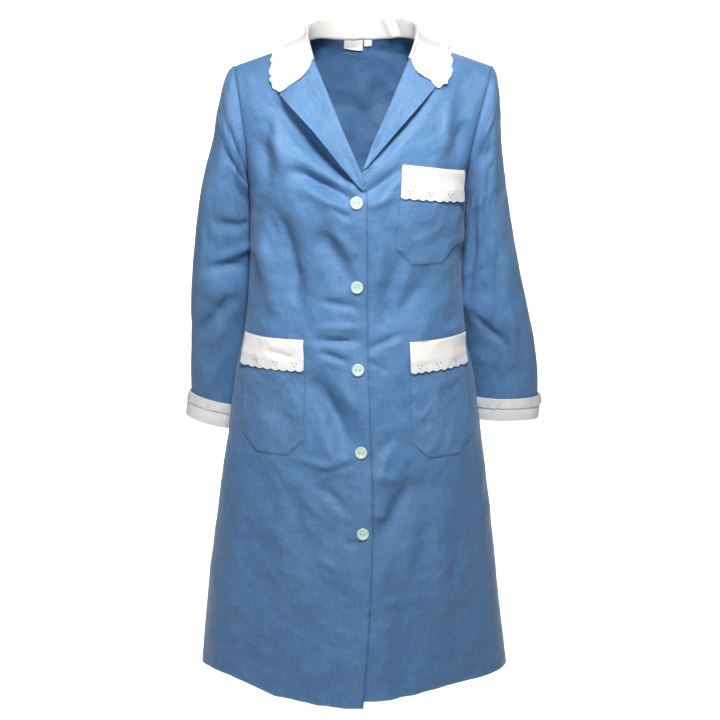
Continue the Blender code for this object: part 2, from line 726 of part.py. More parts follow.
def cuff(side):
    """A turned-back cuff over the sleeve's end, and the lace at the cuff's top edge."""
    name = "left" if side > 0 else "right"
    ends = sleeve_ends(side, len(SLEEVES[name]) - 1.0)
    turn = np.arange(SLEEVE_TURNS) / SLEEVE_TURNS
    rings = [
        oval(ends, turn, CUFF_EASE, down)
        for down in np.linspace(-CUFF_OVERLAP, CUFF_LENGTH[name] - CUFF_OVERLAP, CUFF_RINGS)
    ]
    rings = np.array(rings)
    normals = -side * grid_normals(rings, around=True)
    wall(f"cuff_{name}", rings, rings - normals * CLOTH, "white", around=True)
    points = CUFF_LACE_SCALLOPS * 4
    turn = np.arange(points) / points
    scallop = SCALLOP_DEPTH * np.abs(np.sin(turn * CUFF_LACE_SCALLOPS * np.pi))
    foot = CUFF_LACE_DEPTH - CUFF_OVERLAP + scallop
    start = CUFF_EASE + LAY_GAP
    under = np.array([
        oval(ends, turn, start, CUFF_LACE_FLARE - CUFF_OVERLAP),
        oval(ends, turn, start + CUFF_LACE_FLARE, foot),
    ])
    over = np.array([
        oval(ends, turn, start + TRIM, CUFF_LACE_FLARE - CUFF_OVERLAP),
        oval(ends, turn, start + CUFF_LACE_FLARE + TRIM, foot),
    ])
    wall(f"cuff_lace_{name}", over, under, "white", around=True)


# Lapels

def lapel(side):
    """A lapel turned back over its front, rolled along the break line."""
    name = "left" if side > 0 else "right"
    edge_table = LAPEL_EDGES[name]
    foot_z = edge_table[0][0]
    gorge = gorge_row(side)
    # The foot row is found the same way as the gorge row
    low, high = 0.9, gorge
    for _ in range(40):
        middle = (low + high) / 2
        across = front_edge_across(np.array([middle]), side)
        below = figure(across, np.array([middle]))[0, 2] < foot_z + LAPEL_FOOT_ROW
        low, high = (middle, high) if below else (low, middle)
    rows = np.linspace(low, gorge, LAPEL_ROWS)
    inner = front_edge_across(rows, side)
    start = figure(inner, rows)
    rise = (start[:, 2] - start[0, 2]) / (start[-1, 2] - start[0, 2])
    tip_z = edge_table[-1][0]
    edge_z = foot_z + LAPEL_FOOT_EDGE + (tip_z - foot_z - LAPEL_FOOT_EDGE) * rise
    edge_across, edge_up = locate(straight(edge_table, 1, edge_z), edge_z, 2)
    # The gorge seam is straight as far as its end, then the lapel's tip stands out past it
    gorge_across = inner + (edge_across - inner) * GORGE_SHARE
    gorge_up = rows + (edge_up - rows) * GORGE_SHARE
    end_x, end_z = GORGE_ENDS[name]
    end_across, end_up = locate(np.array([end_x]), np.array([end_z]), 2)
    gorge_across[-1] = end_across[0]
    gorge_up[-1] = end_up[0]
    lift = lapped_lift(start[:, 0], start[:, 2], side)
    base = cloth(inner, rows, lift - CLOTH / 2)
    normal = figure_normal(inner, rows)
    toward = figure(gorge_across, gorge_up) - start
    width = np.linalg.norm(toward, axis=-1)
    toward = normalised(toward)
    opening = normalised(-toward + normal * np.sum(toward * normal, axis=-1, keepdims=True))
    roll = np.minimum(LAPEL_ROLL, width * LAPEL_ROLL_SHARE)[:, None]
    columns = [base + opening * FOLD_GAP, base + opening * (FOLD_GAP + FOLD_RIM)]
    for turn in np.radians(LAPEL_ROLL_TURNS):
        out = FOLD_GAP + FOLD_RIM + roll * math.sin(turn)
        high = roll * (1 - math.cos(turn))
        columns.append(base + opening * out + normal * high)
    rest = 2 * roll[:, 0] - CLOTH / 2
    for share in LAPEL_SHARES + (GORGE_SHARE, 1.0):
        part = min(1.0, share / GORGE_SHARE)
        across = inner + (gorge_across - inner) * part
        up = rows + (gorge_up - rows) * part
        if share > GORGE_SHARE:
            across, up = edge_across, edge_up
        here = figure(across, up)
        over = lapped_lift(here[:, 0], here[:, 2], side)
        settle = rest + (LAPEL_REST - rest) * min(1.0, share * 2)
        lifted = settle + (LAPEL_LIFT - LAPEL_REST) * share**3 * np.sin(np.pi * rise)
        columns.append(cloth(across, up, over + np.maximum(lifted, CLOTH / 2 + LAY_GAP)))
    middle = np.stack(columns, axis=1)
    outer, under = both_sides(middle, CLOTH)
    wall(f"lapel_{name}", outer, under, "blue")


# Collar

def unit_steps(across, up):
    """Length of a step in across and of a step in up."""
    by_across = np.linalg.norm(figure(across + DIFFERENCE, up) - figure(across, up), axis=-1)
    by_up = np.linalg.norm(figure(across, up + DIFFERENCE) - figure(across, up), axis=-1)
    return by_across / DIFFERENCE, by_up / DIFFERENCE


def collar_half(side):
    """Seam and outer edge of half the collar from the gorge to the nape, as across and up."""
    name = "left" if side > 0 else "right"
    gorge = gorge_row(side)
    across_gorge = front_edge_across(np.array([gorge]), side)
    _, by_up = unit_steps(across_gorge, np.array([gorge]))
    rise = np.linspace(gorge + COLLAR_SEAM_GAP / by_up[0], 2.0, COLLAR_FRONT_STATIONS + 1)
    seam_across = front_edge_across(rise, side)
    seam_across[-1] = neck_point_across(side)
    share = np.linspace(0, 1, COLLAR_FRONT_STATIONS + 1)
    table = COLLAR_EDGES[name]
    edge_x = smooth(table, 1, share)
    edge_z = smooth(table, 2, share)
    # The front end keeps a seam's gap from the lapel
    edge_x[0] += side * COLLAR_SEAM_GAP * COLLAR_END_SLANT
    edge_z[0] += COLLAR_SEAM_GAP * COLLAR_END_SLANT
    edge_across, edge_up = locate(edge_x[:-1], edge_z[:-1], 2)
    # On the shoulder seam the edge is found by its x alone
    low, high = 0.0, 1.0
    for _ in range(40):
        middle = (low + high) / 2
        inside = figure(middle * side, 2.0)[0] * side < abs(edge_x[-1])
        low, high = (middle, high) if inside else (low, middle)
    edge_across = np.append(edge_across, low * side)
    edge_up = np.append(edge_up, 2.0)
    neck = neck_columns()
    neck = neck[: len(neck) // 2 + 1] if side < 0 else neck[len(neck) // 2 :][::-1]
    back_up = neckline_up(neck[1:])
    way = np.arange(1, len(neck)) / (len(neck) - 1)
    width = smooth(COLLAR_BACK_WIDTH, 1, way)
    lean = np.pi / 2 * (1 - way)
    by_across, by_up = unit_steps(neck[1:], back_up)
    back_across = neck[1:] + side * width * np.sin(lean) / by_across
    back_edge_up = back_up + width * np.cos(lean) / by_up
    seam = np.concatenate([seam_across, neck[1:]]), np.concatenate([rise, back_up])
    edge = np.concatenate([edge_across, back_across]), np.concatenate([edge_up, back_edge_up])
    stand = smooth(COLLAR_STAND, 1, np.linspace(0, 1, len(seam[0])))
    return seam + edge + (stand,)


def collar_stations():
    """Both halves of the collar joined at the nape, from the right gorge to the left one."""
    right = collar_half(-1)
    left = collar_half(1)
    return [np.concatenate([r, l[:-1][::-1]]) for r, l in zip(right, left)]


def lap_at(across, up):
    here = figure(across, up)
    on_right = (up <= 2) & (across < 0)
    return np.where(on_right, lapped_lift(here[..., 0], here[..., 2], -1), 0.0)


def collar_surface():
    """The collar's middle surface: up the stand, over the roll and down the fall."""
    seam_across, seam_up, edge_across, edge_up, stand = collar_stations()
    base = cloth(seam_across, seam_up, lap_at(seam_across, seam_up) - CLOTH / 2)
    normal = figure_normal(seam_across, seam_up)
    near = figure(
        seam_across + (edge_across - seam_across) * 0.1, seam_up + (edge_up - seam_up) * 0.1
    )
    outward = near - figure(seam_across, seam_up)
    outward -= normal * np.sum(outward * normal, axis=-1, keepdims=True)
    opening = -normalised(outward)
    out, straight_up = COLLAR_UPRIGHT
    upright = normalised(normal * out + np.array([0.0, 0.0, straight_up]))
    tall = np.clip((stand - COLLAR_STANDS_FROM) / COLLAR_STANDS_OVER, 0, 1)[:, None]
    rising = normalised(normal * (1 - tall) + upright * tall)
    roll = COLLAR_ROLL
    stand = stand[:, None]
    bend = base + opening * (FOLD_GAP + FOLD_RIM)
    columns = [base + opening * FOLD_GAP, bend]
    for inward, stand_share, less, least in COLLAR_ROLL_POINTS:
        high = np.maximum(stand * stand_share - less, roll * least)
        columns.append(bend + opening * roll * inward + rising * high)
    top = columns[-1]
    height, place, spread = COLLAR_RIDGE
    for share in COLLAR_FALL_SHARES:
        across = seam_across + (edge_across - seam_across) * share
        up = seam_up + (edge_up - seam_up) * share
        ridge = height * np.exp(-(((up - place) / spread) ** 2))
        rest = cloth(across, up, lap_at(across, up) + COLLAR_REST + ridge)
        fall = top + (rest - top) * min(1.0, share * COLLAR_FALL_SPEED)
        weight = min(1.0, share * COLLAR_SETTLE_SPEED) ** COLLAR_SETTLE_POWER
        columns.append(fall * (1 - weight) + rest * weight)
    return np.stack(columns, axis=1)


def collar():
    outer, inner = both_sides(collar_surface(), CLOTH)
    wall("collar", outer, inner, "white")


def collar_lace():
    """Gathered lace round the collar's outer edge, one soft wave for each gather."""
    seam_across, seam_up, edge_across, edge_up, _ = collar_stations()
    edge = collar_surface()[:, -1]
    stations = np.arange(len(edge), dtype=float)
    fine = np.linspace(COLLAR_LACE_START, stations[-1] - COLLAR_LACE_START, COLLAR_LACE_WAVES * 4 + 1)

    def between(values):
        return np.interp(fine, stations, values)

    edge = np.stack([between(edge[:, i]) for i in range(3)], axis=-1)
    from_across, from_up = between(edge_across), between(edge_up)
    way_across = from_across - between(seam_across)
    way_up = from_up - between(seam_up)
    start = cloth(from_across, from_up, lap_at(from_across, from_up))
    reach = np.linalg.norm(start - cloth(from_across - way_across, from_up - way_up), axis=-1)
    phase = np.linspace(0, COLLAR_LACE_WAVES * 2 * np.pi, len(fine))
    width = COLLAR_LACE_WIDTH + COLLAR_LACE_UNEVEN * np.cos(phase)
    from_end = np.minimum(fine, stations[-1] - fine)
    width *= np.clip(COLLAR_LACE_END_SHARE + from_end * COLLAR_LACE_END_RISE, 0, 1)
    columns = []
    for share in COLLAR_LACE_SHARES:
        out = (SEAM_GAP * 2 + width * share) / reach
        across, up = from_across + way_across * out, from_up + way_up * out
        ripple = COLLAR_LACE_RIPPLE * share * (1 + np.sin(phase))
        columns.append(edge + cloth(across, up, lap_at(across, up) + ripple) - start)
    outer, inner = both_sides(np.stack(columns, axis=1), TRIM)
    wall("collar_lace", outer, inner, "white")


# Pockets

def pocket_outline(spec, drops, foot_rows, columns):
    """Front view x and z of a grid over a pocket: rows some way below its mouth, then rows down to
    its foot, where the corners are cut off."""
    inner_x, inner_z, outer_x, outer_z, inner_foot, outer_foot, foot_z, corner = spec
    share = np.linspace(0, 1, columns + 1)
    top_x = inner_x + (outer_x - inner_x) * share
    top_z = inner_z + (outer_z - inner_z) * share
    from_side = np.minimum(share, 1 - share) * abs(outer_foot - inner_foot)
    foot = foot_z + np.clip(corner - from_side, 0, None)
    rows = [top_z - drop for drop in drops]
    last = rows[-1]
    rows += [last + (foot - last) * part for part in np.linspace(0, 1, foot_rows + 1)[1:]]
    z = np.array(rows)
    foot_x = inner_foot + (outer_foot - inner_foot) * share
    x = top_x + (foot_x - top_x) * (top_z - z) / (top_z - foot_z)
    return x, z


def pocket_ease(spec, x, z):
    """How far the patch stands off its front, fullest at the mouth's middle."""
    inner_x, inner_z, outer_x, _, _, _, foot_z, _ = spec
    share = np.clip((x - inner_x) / (outer_x - inner_x), 0, 1)
    down = np.clip((inner_z - z) / (inner_z - foot_z), 0, 1)
    fullness = POCKET_EASE * np.sin(np.pi * share) * (1 - down) ** POCKET_EASE_POWER
    return fullness + POCKET_OUTER_EASE * share**4


def on_front(spec, x, z, offset):
    across, up = locate(x, z, 2)
    side = 1 if spec[0] > 0 else -1
    return cloth(across, up, lapped_lift(x, z, side) + pocket_ease(spec, x, z) + offset)


def pocket(name, spec):
    """A patch pocket with its band and lace, whose points keep to the pocket's own rows."""
    drops = (0.0, BAND_DEPTH / 2, BAND_DEPTH, BAND_DEPTH + LACE_DEPTH)
    x, z = pocket_outline(spec, drops, 4, POCKET_COLUMNS)
    under = on_front(spec, x, z, LAY_GAP)
    over = on_front(spec, x, z, LAY_GAP + POCKET_CLOTH)
    wall(f"pocket_{name}", over, under, "blue")
    level = LAY_GAP + POCKET_CLOTH + BAND_GAP
    x, z = pocket_outline(spec, drops[:3], 0, POCKET_COLUMNS)
    under = on_front(spec, x, z, level)
    over = on_front(spec, x, z, level + TRIM)
    wall(f"band_{name}", over, under, "white")
    points = POCKET_COLUMNS * 4
    x, z = pocket_outline(spec, (BAND_DEPTH + SEAM_GAP, BAND_DEPTH + LACE_DEPTH), 0, points)
    wave = np.abs(np.sin(np.linspace(0, POCKET_COLUMNS * np.pi, points + 1)))
    z[-1] -= SCALLOP_DEPTH * wave
    hang = np.array([0.3, 1.0])[:, None] * LACE_LIFT
    under = on_front(spec, x, z, level + hang)
    over = on_front(spec, x, z, level + hang + TRIM)
    wall(f"lace_{name}", over, under, "white")


# Buttons and labels

def button_mesh():
    """A two-hole button, turned from its profile with the holes cut through, face up at its origin."""
    working = bmesh.new()
    profile = (
        (0.0, BUTTON_THICK - BUTTON_RIM),
        (BUTTON_RADIUS * 0.62, BUTTON_THICK - BUTTON_RIM),
        (BUTTON_RADIUS * 0.78, BUTTON_THICK),
        (BUTTON_RADIUS * 0.93, BUTTON_THICK * 0.9),
        (BUTTON_RADIUS, BUTTON_THICK * 0.5),
        (BUTTON_RADIUS * 0.85, 0.0),
        (0.0, 0.0),
    )
    points = [working.verts.new((r * MM, 0.0, z * MM)) for r, z in profile]
    for first, second in zip(points, points[1:]):
        working.edges.new((first, second))
    bmesh.ops.spin(
        working,
        geom=working.verts[:] + working.edges[:],
        axis=(0, 0, 1),
        cent=(0, 0, 0),
        steps=16,
        angle=2 * math.pi,
    )
    bmesh.ops.remove_doubles(working, verts=working.verts, dist=1e-6)
    bmesh.ops.recalc_face_normals(working, faces=working.faces)
    mesh = bpy.data.meshes.new("button")
    working.to_mesh(mesh)
    working.free()
    blank = bpy.data.objects.new("button_blank", mesh)
    cutters.objects.link(blank)
    for sign in (-1, 1):
        bpy.ops.mesh.primitive_cylinder_add(
            vertices=6,
            radius=BUTTON_HOLE * MM,
            depth=BUTTON_THICK * 3 * MM,
            location=(sign * BUTTON_HOLE_SPACING / 2 * MM, 0, BUTTON_THICK / 2 * MM),
        )
        drill = bpy.context.active_object
        drill.hide_render = True
        drill.display_type = "WIRE"
        for home in list(drill.users_collection):
            home.objects.unlink(drill)
        cutters.objects.link(drill)
        cut = blank.modifiers.new("hole", "BOOLEAN")
        cut.operation = "DIFFERENCE"
        cut.object = drill
    bpy.context.view_layer.update()
    graph = bpy.context.evaluated_depsgraph_get()
    cut_mesh = bpy.data.meshes.new_from_object(blank.evaluated_get(graph))
    bpy.data.objects.remove(blank)
    cut_mesh.shade_smooth()
    cut_mesh.set_sharp_from_angle(angle=math.radians(30))
    return cut_mesh


def buttons():
    mesh = button_mesh()
    for index, settle in enumerate(BUTTON_SETTLE):
        z = BUTTON_TOP_Z - BUTTON_PITCH * index
        x = float(straight(CENTRE_FRONT, 1, z))
        across, up = locate(np.array([x]), np.array([z]), 2)
        lift = float(lapped_lift(np.array(x), np.array(z), -1))
        seat = cloth(across, up, lift + LAY_GAP - settle)[0] * MM
        facing = figure_normal(across, up)[0]
        made = link(f"button_{index + 1}", mesh if index == 0 else mesh.copy(), "pearl", 0.35)
        made.location = seat
        made.rotation_mode = "QUATERNION"
        made.rotation_quaternion = direction_turn(facing)


def direction_turn(facing):
    """The turn that points a button's face along a direction and keeps its holes level."""
    out = Vector(facing).normalized()
    level = Vector((1, 0, 0))
    level = (level - out * level.dot(out)).normalized()
    side = out.cross(level)
    return Matrix((level, side, out)).transposed().to_quaternion()


def label(name, spec):
    """A plain woven label hanging inside the back neck."""
    centre_x, width, height, gap = spec
    x = np.linspace(centre_x - width / 2, centre_x + width / 2, 4)
    top_y = NAPE_Y * np.sqrt(1 - (x / NECK_HALF) ** 2)
    across, up = locate(x, top_y + LABEL_SEAM_Y, 1, behind=True)
    rows = []
    for share in (0.0, 0.5, 1.0):
        hang = up + height * share * LABEL_FALL
        rows.append(cloth(across, hang, -CLOTH - gap - LABEL_SWING * min(1.0, share * 2)))
    middle = np.stack(rows)
    normals = figure_normal(across, up)[None, :, :]
    wall(name, middle, middle - normals * TRIM, "white")


for old in list(bpy.data.objects):
    bpy.data.objects.remove(old)
garment = bpy.data.collections.new("housekeeping_tunic")
bpy.context.scene.collection.children.link(garment)
cutters = bpy.data.collections.new("cutters")
bpy.context.scene.collection.children.link(cutters)

front("front_right", -1)
front("front_left", 1)
back()
for name, side in (("right", -1), ("left", 1)):
    sleeve(f"sleeve_{name}", side)
    cuff(side)
    lapel(side)
collar()
collar_lace()
for pocket_name, pocket_spec in POCKETS.items():
    pocket(pocket_name, pocket_spec)
buttons()
label("neck_label", NECK_LABEL)
label("size_tag", SIZE_TAG)
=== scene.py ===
import math

import bmesh
import bpy
import numpy as np
from mathutils import Matrix, Vector
from mathutils.bvhtree import BVHTree


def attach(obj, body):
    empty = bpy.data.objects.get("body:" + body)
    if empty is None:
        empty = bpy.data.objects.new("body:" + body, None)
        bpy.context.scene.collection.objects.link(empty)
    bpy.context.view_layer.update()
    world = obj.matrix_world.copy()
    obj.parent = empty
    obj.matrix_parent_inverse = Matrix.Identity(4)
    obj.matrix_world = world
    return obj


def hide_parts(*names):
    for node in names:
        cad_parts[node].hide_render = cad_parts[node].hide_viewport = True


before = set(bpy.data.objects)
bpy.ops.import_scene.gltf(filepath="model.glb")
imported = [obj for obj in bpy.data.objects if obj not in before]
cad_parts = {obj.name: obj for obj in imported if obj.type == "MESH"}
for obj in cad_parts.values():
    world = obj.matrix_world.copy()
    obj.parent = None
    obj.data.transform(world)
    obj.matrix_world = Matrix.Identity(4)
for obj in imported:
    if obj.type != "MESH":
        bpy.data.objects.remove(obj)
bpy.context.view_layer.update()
mm = 0.001  # lengths below are in millimetres, x to the wearer's left, y to the back, z up

print("camera, light and stage")

viewSizes = {"place": (-0.003, -2.0, -0.0436), "lookDown": 12.48, "lens": 65.5, "sensor": 36.0}
cameraData = bpy.data.cameras.new("photoCamera")
cameraData.lens = viewSizes["lens"]
cameraData.sensor_width = viewSizes["sensor"]
camera = bpy.data.objects.new("photoCamera", cameraData)
camera.location = viewSizes["place"]
camera.rotation_euler = (math.radians(90 - viewSizes["lookDown"]), 0, 0)
bpy.context.scene.collection.objects.link(camera)
bpy.context.scene.camera = camera

bpy.context.scene.view_settings.view_transform = "Standard"
lampSizes = {
    # name: place, aim, size, power, spread in degrees, colour
    "keyLamp": ((0.05, -1.22, 0.86), (0.0, -0.1, -0.36), 0.34, 34.0, 180, (1.0, 0.99, 0.97)),
    "chestLamp": ((0.10, -1.30, 0.60), (0.0, -0.1, -0.15), 0.28, 0.40, 36, (1.0, 0.99, 0.97)),
    "fillLamp": ((-1.2, -2.1, -0.3), (0.0, 0.0, -0.6), 1.0, 6.5, 180, (0.96, 0.98, 1.0)),
    "backLamp": ((0.5, 1.9, 0.9), (0.0, 0.0, -0.4), 1.2, 12.0, 180, (1.0, 0.99, 0.97)),
}
for lampName, (place, aim, size, power, spread, colour) in lampSizes.items():
    lampData = bpy.data.lights.new(lampName, "AREA")
    lampData.size = size
    lampData.energy = power
    lampData.spread = math.radians(spread)
    lampData.color = colour
    lamp = bpy.data.objects.new(lampName, lampData)
    lamp.location = place
    lamp.rotation_euler = (Vector(aim) - Vector(place)).to_track_quat("-Z", "Y").to_euler()
    bpy.context.scene.collection.objects.link(lamp)

worldLight = {"colour": (1.0, 1.0, 1.0, 1.0), "strength": 0.13}
world = bpy.data.worlds.new("paleStudio")
bpy.context.scene.world = world
world.use_nodes = True
world.node_tree.nodes["Background"].inputs["Color"].default_value = worldLight["colour"]
world.node_tree.nodes["Background"].inputs["Strength"].default_value = worldLight["strength"]


class Wire:
    # one socket of a node tree; sums on wires add Math nodes
    def __init__(self, tree, socket):
        self.tree = tree
        self.socket = socket

    def node(self, kind, settings=None, inputs=None, output=0):
        made = self.tree.nodes.new(kind)
        for key, value in (settings or {}).items():
            if key == "stops":
                ramp = made.color_ramp
                ramp.elements[0].position, ramp.elements[0].color = value[0]
                ramp.elements[1].position, ramp.elements[1].color = value[-1]
                for place, colour in value[1:-1]:
                    ramp.elements.new(place).color = colour
            else:
                setattr(made, key, value)
        for key, value in (inputs or {}).items():
            if isinstance(value, Wire):
                self.tree.links.new(value.socket, made.inputs[key])
            else:
                made.inputs[key].default_value = value
        return Wire(self.tree, made.outputs[output])

    def math(self, operation, *others, clamp=False):
        inputs = {0: self}
        inputs.update({i + 1: other for i, other in enumerate(others)})
        return self.node("ShaderNodeMath", {"operation": operation, "use_clamp": clamp}, inputs)

    def __add__(self, other):
        return self.math("ADD", other)

    def __radd__(self, other):
        return self.math("ADD", other)

    def __sub__(self, other):
        return self.math("SUBTRACT", other)

    def __rsub__(self, other):
        return self.node("ShaderNodeMath", {"operation": "SUBTRACT"}, {0: other, 1: self})

    def __mul__(self, other):
        return self.math("MULTIPLY", other)

    def sine(self, wavelength):
        return (self * (2 * math.pi / wavelength)).math("SINE")

    def near(self, place, reach):
        # 1 at a place, falling to 0 a reach away
        return 1 - (self - place).math("ABSOLUTE").math("DIVIDE", reach, clamp=True)

    def stretched(self, scale):
        return self.node("ShaderNodeVectorMath", {"operation": "MULTIPLY"}, {0: self, 1: scale})

    def noise(self, scale, detail=2.0, roughness=0.5):
        return self.node("ShaderNodeTexNoise", {}, {
            "Vector": self, "Scale": scale, "Detail": detail, "Roughness": roughness,
        })

    def mixed(self, first, second):
        # a colour from first to second by this share
        return self.node("ShaderNodeMix", {"data_type": "RGBA"}, {0: self, 6: first, 7: second}, 2)


def newMaterial(name):
    material = bpy.data.materials.new(name)
    material.use_nodes = True
    tree = material.node_tree
    shader = tree.nodes["Principled BSDF"]
    start = Wire(tree, shader.outputs[0])
    uv = start.node("ShaderNodeUVMap", {"uv_map": "cloth"})
    return material, shader, uv


def split(uv):
    parts = uv.node("ShaderNodeSeparateXYZ", {}, {0: uv})
    across = Wire(uv.tree, parts.socket.node.outputs[0])
    along = Wire(uv.tree, parts.socket.node.outputs[1])
    return across, along


def attribute(start, name):
    return start.node("ShaderNodeAttribute", {"attribute_name": name}, {}, 2)


def feed(shader, **links):
    for name, wire in links.items():
        wire.tree.links.new(wire.socket, shader.inputs[name.replace("_", " ")])


clothLook = {
    "shade": (0.046, 0.142, 0.316, 1.0),
    "light": (0.134, 0.284, 0.516, 1.0),
    "worn": (0.190, 0.345, 0.590, 1.0),
    # painted shade: a deep blue laid into the dart's fold and along seams, edges and pocket rims, where shade
    # falls
    "dartShade": (0.022, 0.066, 0.165, 1.0),
    # painted shade on the garment's inside faces, with a little of the cloth's duller reverse side
    "inside": (0.045, 0.125, 0.275, 1.0),
    "insideShadeShare": 0.86,
    "twill": 0.0011,  # metres between ribs
    "twillHeight": 0.00007,
    "crumple": 0.0085,
    "smallCrumple": 0.0020,
    "tinyCrumple": 0.00028,
    "sheen": 0.12,
    "sheenRoughness": 0.42,
    "sheenTint": (0.72, 0.84, 1.0, 1.0),
    "roughness": 0.56,
    "mottleRoughness": 0.16,
    "twillRoughness": 0.03,
    "specular": 0.5,
    "bump": 0.75,
    "twillSlant": 0.8,
    "warp": (620.0, 40.0, 1.0),
    "weft": (40.0, 620.0, 1.0),
    "threadHeight": 0.00012,
    # noises: scale, detail and, where stated, roughness
    "threadNoise": (1.0, 1.0),
    "mottleNoise": (26.0, 4.0, 0.6),
    "patchNoise": (5.0, 2.0),
    "crumpleNoise": (15.0, 3.0, 0.45),
    "smallNoise": (62.0, 3.0, 0.5),
    "grainNoise": (640.0, 2.0, 0.7),
    "fleckNoise": (210.0, 2.0, 0.6),
    # shares of mottle, patches, threads, grain and fleck in the tone, and what is taken off their sum
    "toneShares": (0.42, 0.36, 0.42, 0.6, 0.42),
    "toneStart": 0.92,
    "insideMottle": 0.2,
    "wearShare": 0.5,
    # how strongly the painted shade along seams and edges shows
    "seamShadeShare": 0.85,
    # the dart's stitched line, a dip with painted shade in it, in metres: fading in, fading out, half width,
    # depth
    "dartLine": (0.004, 0.002, 0.0011, 0.0012),
}


def clothMaterial(name, dartShade=None, inside=False):
    look = clothLook
    material, shader, uv = newMaterial(name)
    across, along = split(uv)
    twill = (across + along * look["twillSlant"]).sine(look["twill"])
    warp = uv.stretched(look["warp"]).noise(*look["threadNoise"])
    weft = uv.stretched(look["weft"]).noise(*look["threadNoise"])
    mottle = uv.noise(*look["mottleNoise"])
    patches = uv.noise(*look["patchNoise"])
    crumple = uv.noise(*look["crumpleNoise"])
    small = uv.noise(*look["smallNoise"])
    grain = uv.noise(*look["grainNoise"])
    fleck = uv.noise(*look["fleckNoise"])
    byMottle, byPatch, byThread, byGrain, byFleck = look["toneShares"]
    tone = mottle * byMottle + patches * byPatch + (warp + weft) * byThread
    tone = (tone + grain * byGrain + fleck * byFleck - look["toneStart"]).math("ADD", 0.0, clamp=True)
    colour = tone.mixed(look["shade"], look["light"])
    # the inside faces are darkened: painted shade, partly the cloth's duller reverse side
    if inside:
        share = mottle * look["insideMottle"] + (look["insideShadeShare"] - look["insideMottle"] / 2)
        colour = share.mixed(colour, look["inside"])
    worn = attribute(uv, "wear") * (mottle * 0.6 + 0.2)
    colour = worn.math("MULTIPLY", look["wearShare"], clamp=True).mixed(colour, look["worn"])
    # painted shade along seams, the lapped front edge and the pocket rims, read from the seam attribute
    seam = attribute(uv, "seam") * (mottle * 0.5 + 0.5)
    colour = seam.math("MULTIPLY", look["seamShadeShare"], clamp=True).mixed(colour, look["dartShade"])
    height = twill * look["twillHeight"] + (warp + weft) * look["threadHeight"]
    height = height + crumple * look["crumple"] + small * look["smallCrumple"]
    height = height + fleck * look["tinyCrumple"]
    if dartShade:
        fromEdge, toEdge, fromHem = dartShade
        fadeIn, fadeOut, half, depth = look["dartLine"]
        taken = along.near(fromHem, half) * (across - fromEdge).math("DIVIDE", fadeIn, clamp=True)
        taken = taken * (toEdge - across).math("DIVIDE", fadeOut, clamp=True)
        height = height - taken * depth
        # painted shade in the dart's fold
        colour = taken.mixed(colour, look["dartShade"])
    bump = uv.node("ShaderNodeBump", {}, {"Height": height, "Distance": 1.0, "Strength": look["bump"]})
    rough = look["roughness"] + (mottle - 0.5) * look["mottleRoughness"] + twill * look["twillRoughness"]
    shader.inputs["Specular IOR Level"].default_value = look["specular"]
    shader.inputs["Sheen Weight"].default_value = look["sheen"]
    shader.inputs["Sheen Roughness"].default_value = look["sheenRoughness"]
    shader.inputs["Sheen Tint"].default_value = look["sheenTint"]
    feed(shader, Base_Color=colour, Roughness=rough, Normal=bump)
    return material


trimLook = {
    "shade": (0.77, 0.762, 0.748, 1.0),
    "light": (0.89, 0.884, 0.874, 1.0),
    # the collar's white is dimmed: painted shade that holds back the lamp's light on the upward-facing collar
    "shadedCollarDark": (0.52, 0.512, 0.498, 1.0),
    "shadedCollarLight": (0.66, 0.654, 0.644, 1.0),
    "thread": (0.93, 0.93, 0.925, 1.0),
    "netShade": (0.60, 0.605, 0.62, 1.0),
    "netLight": (0.80, 0.80, 0.80, 1.0),
    "weave": 0.0009,
    "weaveHeight": 0.00007,
    "slub": (700.0, 70.0, 1.0),
    "slubHeight": 0.00014,
    "crumple": 0.0012,
    # noises: scale, detail and, where stated, roughness
    "slubNoise": (1.0, 1.0),
    "mottleNoise": (38.0, 4.0, 0.6),
    "patchNoise": (9.0, 2.0),
    "crumpleNoise": (24.0, 3.0),
    # shares of mottle, patches and slub in the tone, and what is added to their sum
    "toneShares": (0.5, 0.4, 0.2),
    "toneStart": 0.12,
    "roughness": 0.78,
    "mottleRoughness": 0.15,
    "specular": 0.3,
    "sheen": 0.12,
    "bump": 0.7,
}
# the eyelets of the lace strips: where the clusters lie and how big the holes are, in metres
eyeletLook = {
    "pitch": 0.028,
    "holes": ((-0.0027, -0.0012), (0.0027, -0.0012), (0.0, 0.0026)),
    "radius": {"eyeletLace": 0.00115, "frillLace": 0.00075},
    "softEdge": 0.00015,
    "rim": 0.0007,
    "satin": 0.0015,
    # the rows of pinholes: pitch, hole radius, soft edge, distances from the scalloped edge
    "pinPitch": 0.0036,
    "pinRadius": 0.00062,
    "pinSoftEdge": 0.0002,
    "pinRows": (0.0029, 0.0126),
    "pinRim": (0.0003, 0.0005),
    "pinHole": 0.8,
    "pinThread": 0.6,
    "threadPitch": 0.0009,
    # heights of the stitched rims, of the satin edge's threads and of the satin edge itself
    "heights": (0.0005, 0.00025, 0.0005),
    "rimTone": 0.5,
    "satinTone": 0.4,
}


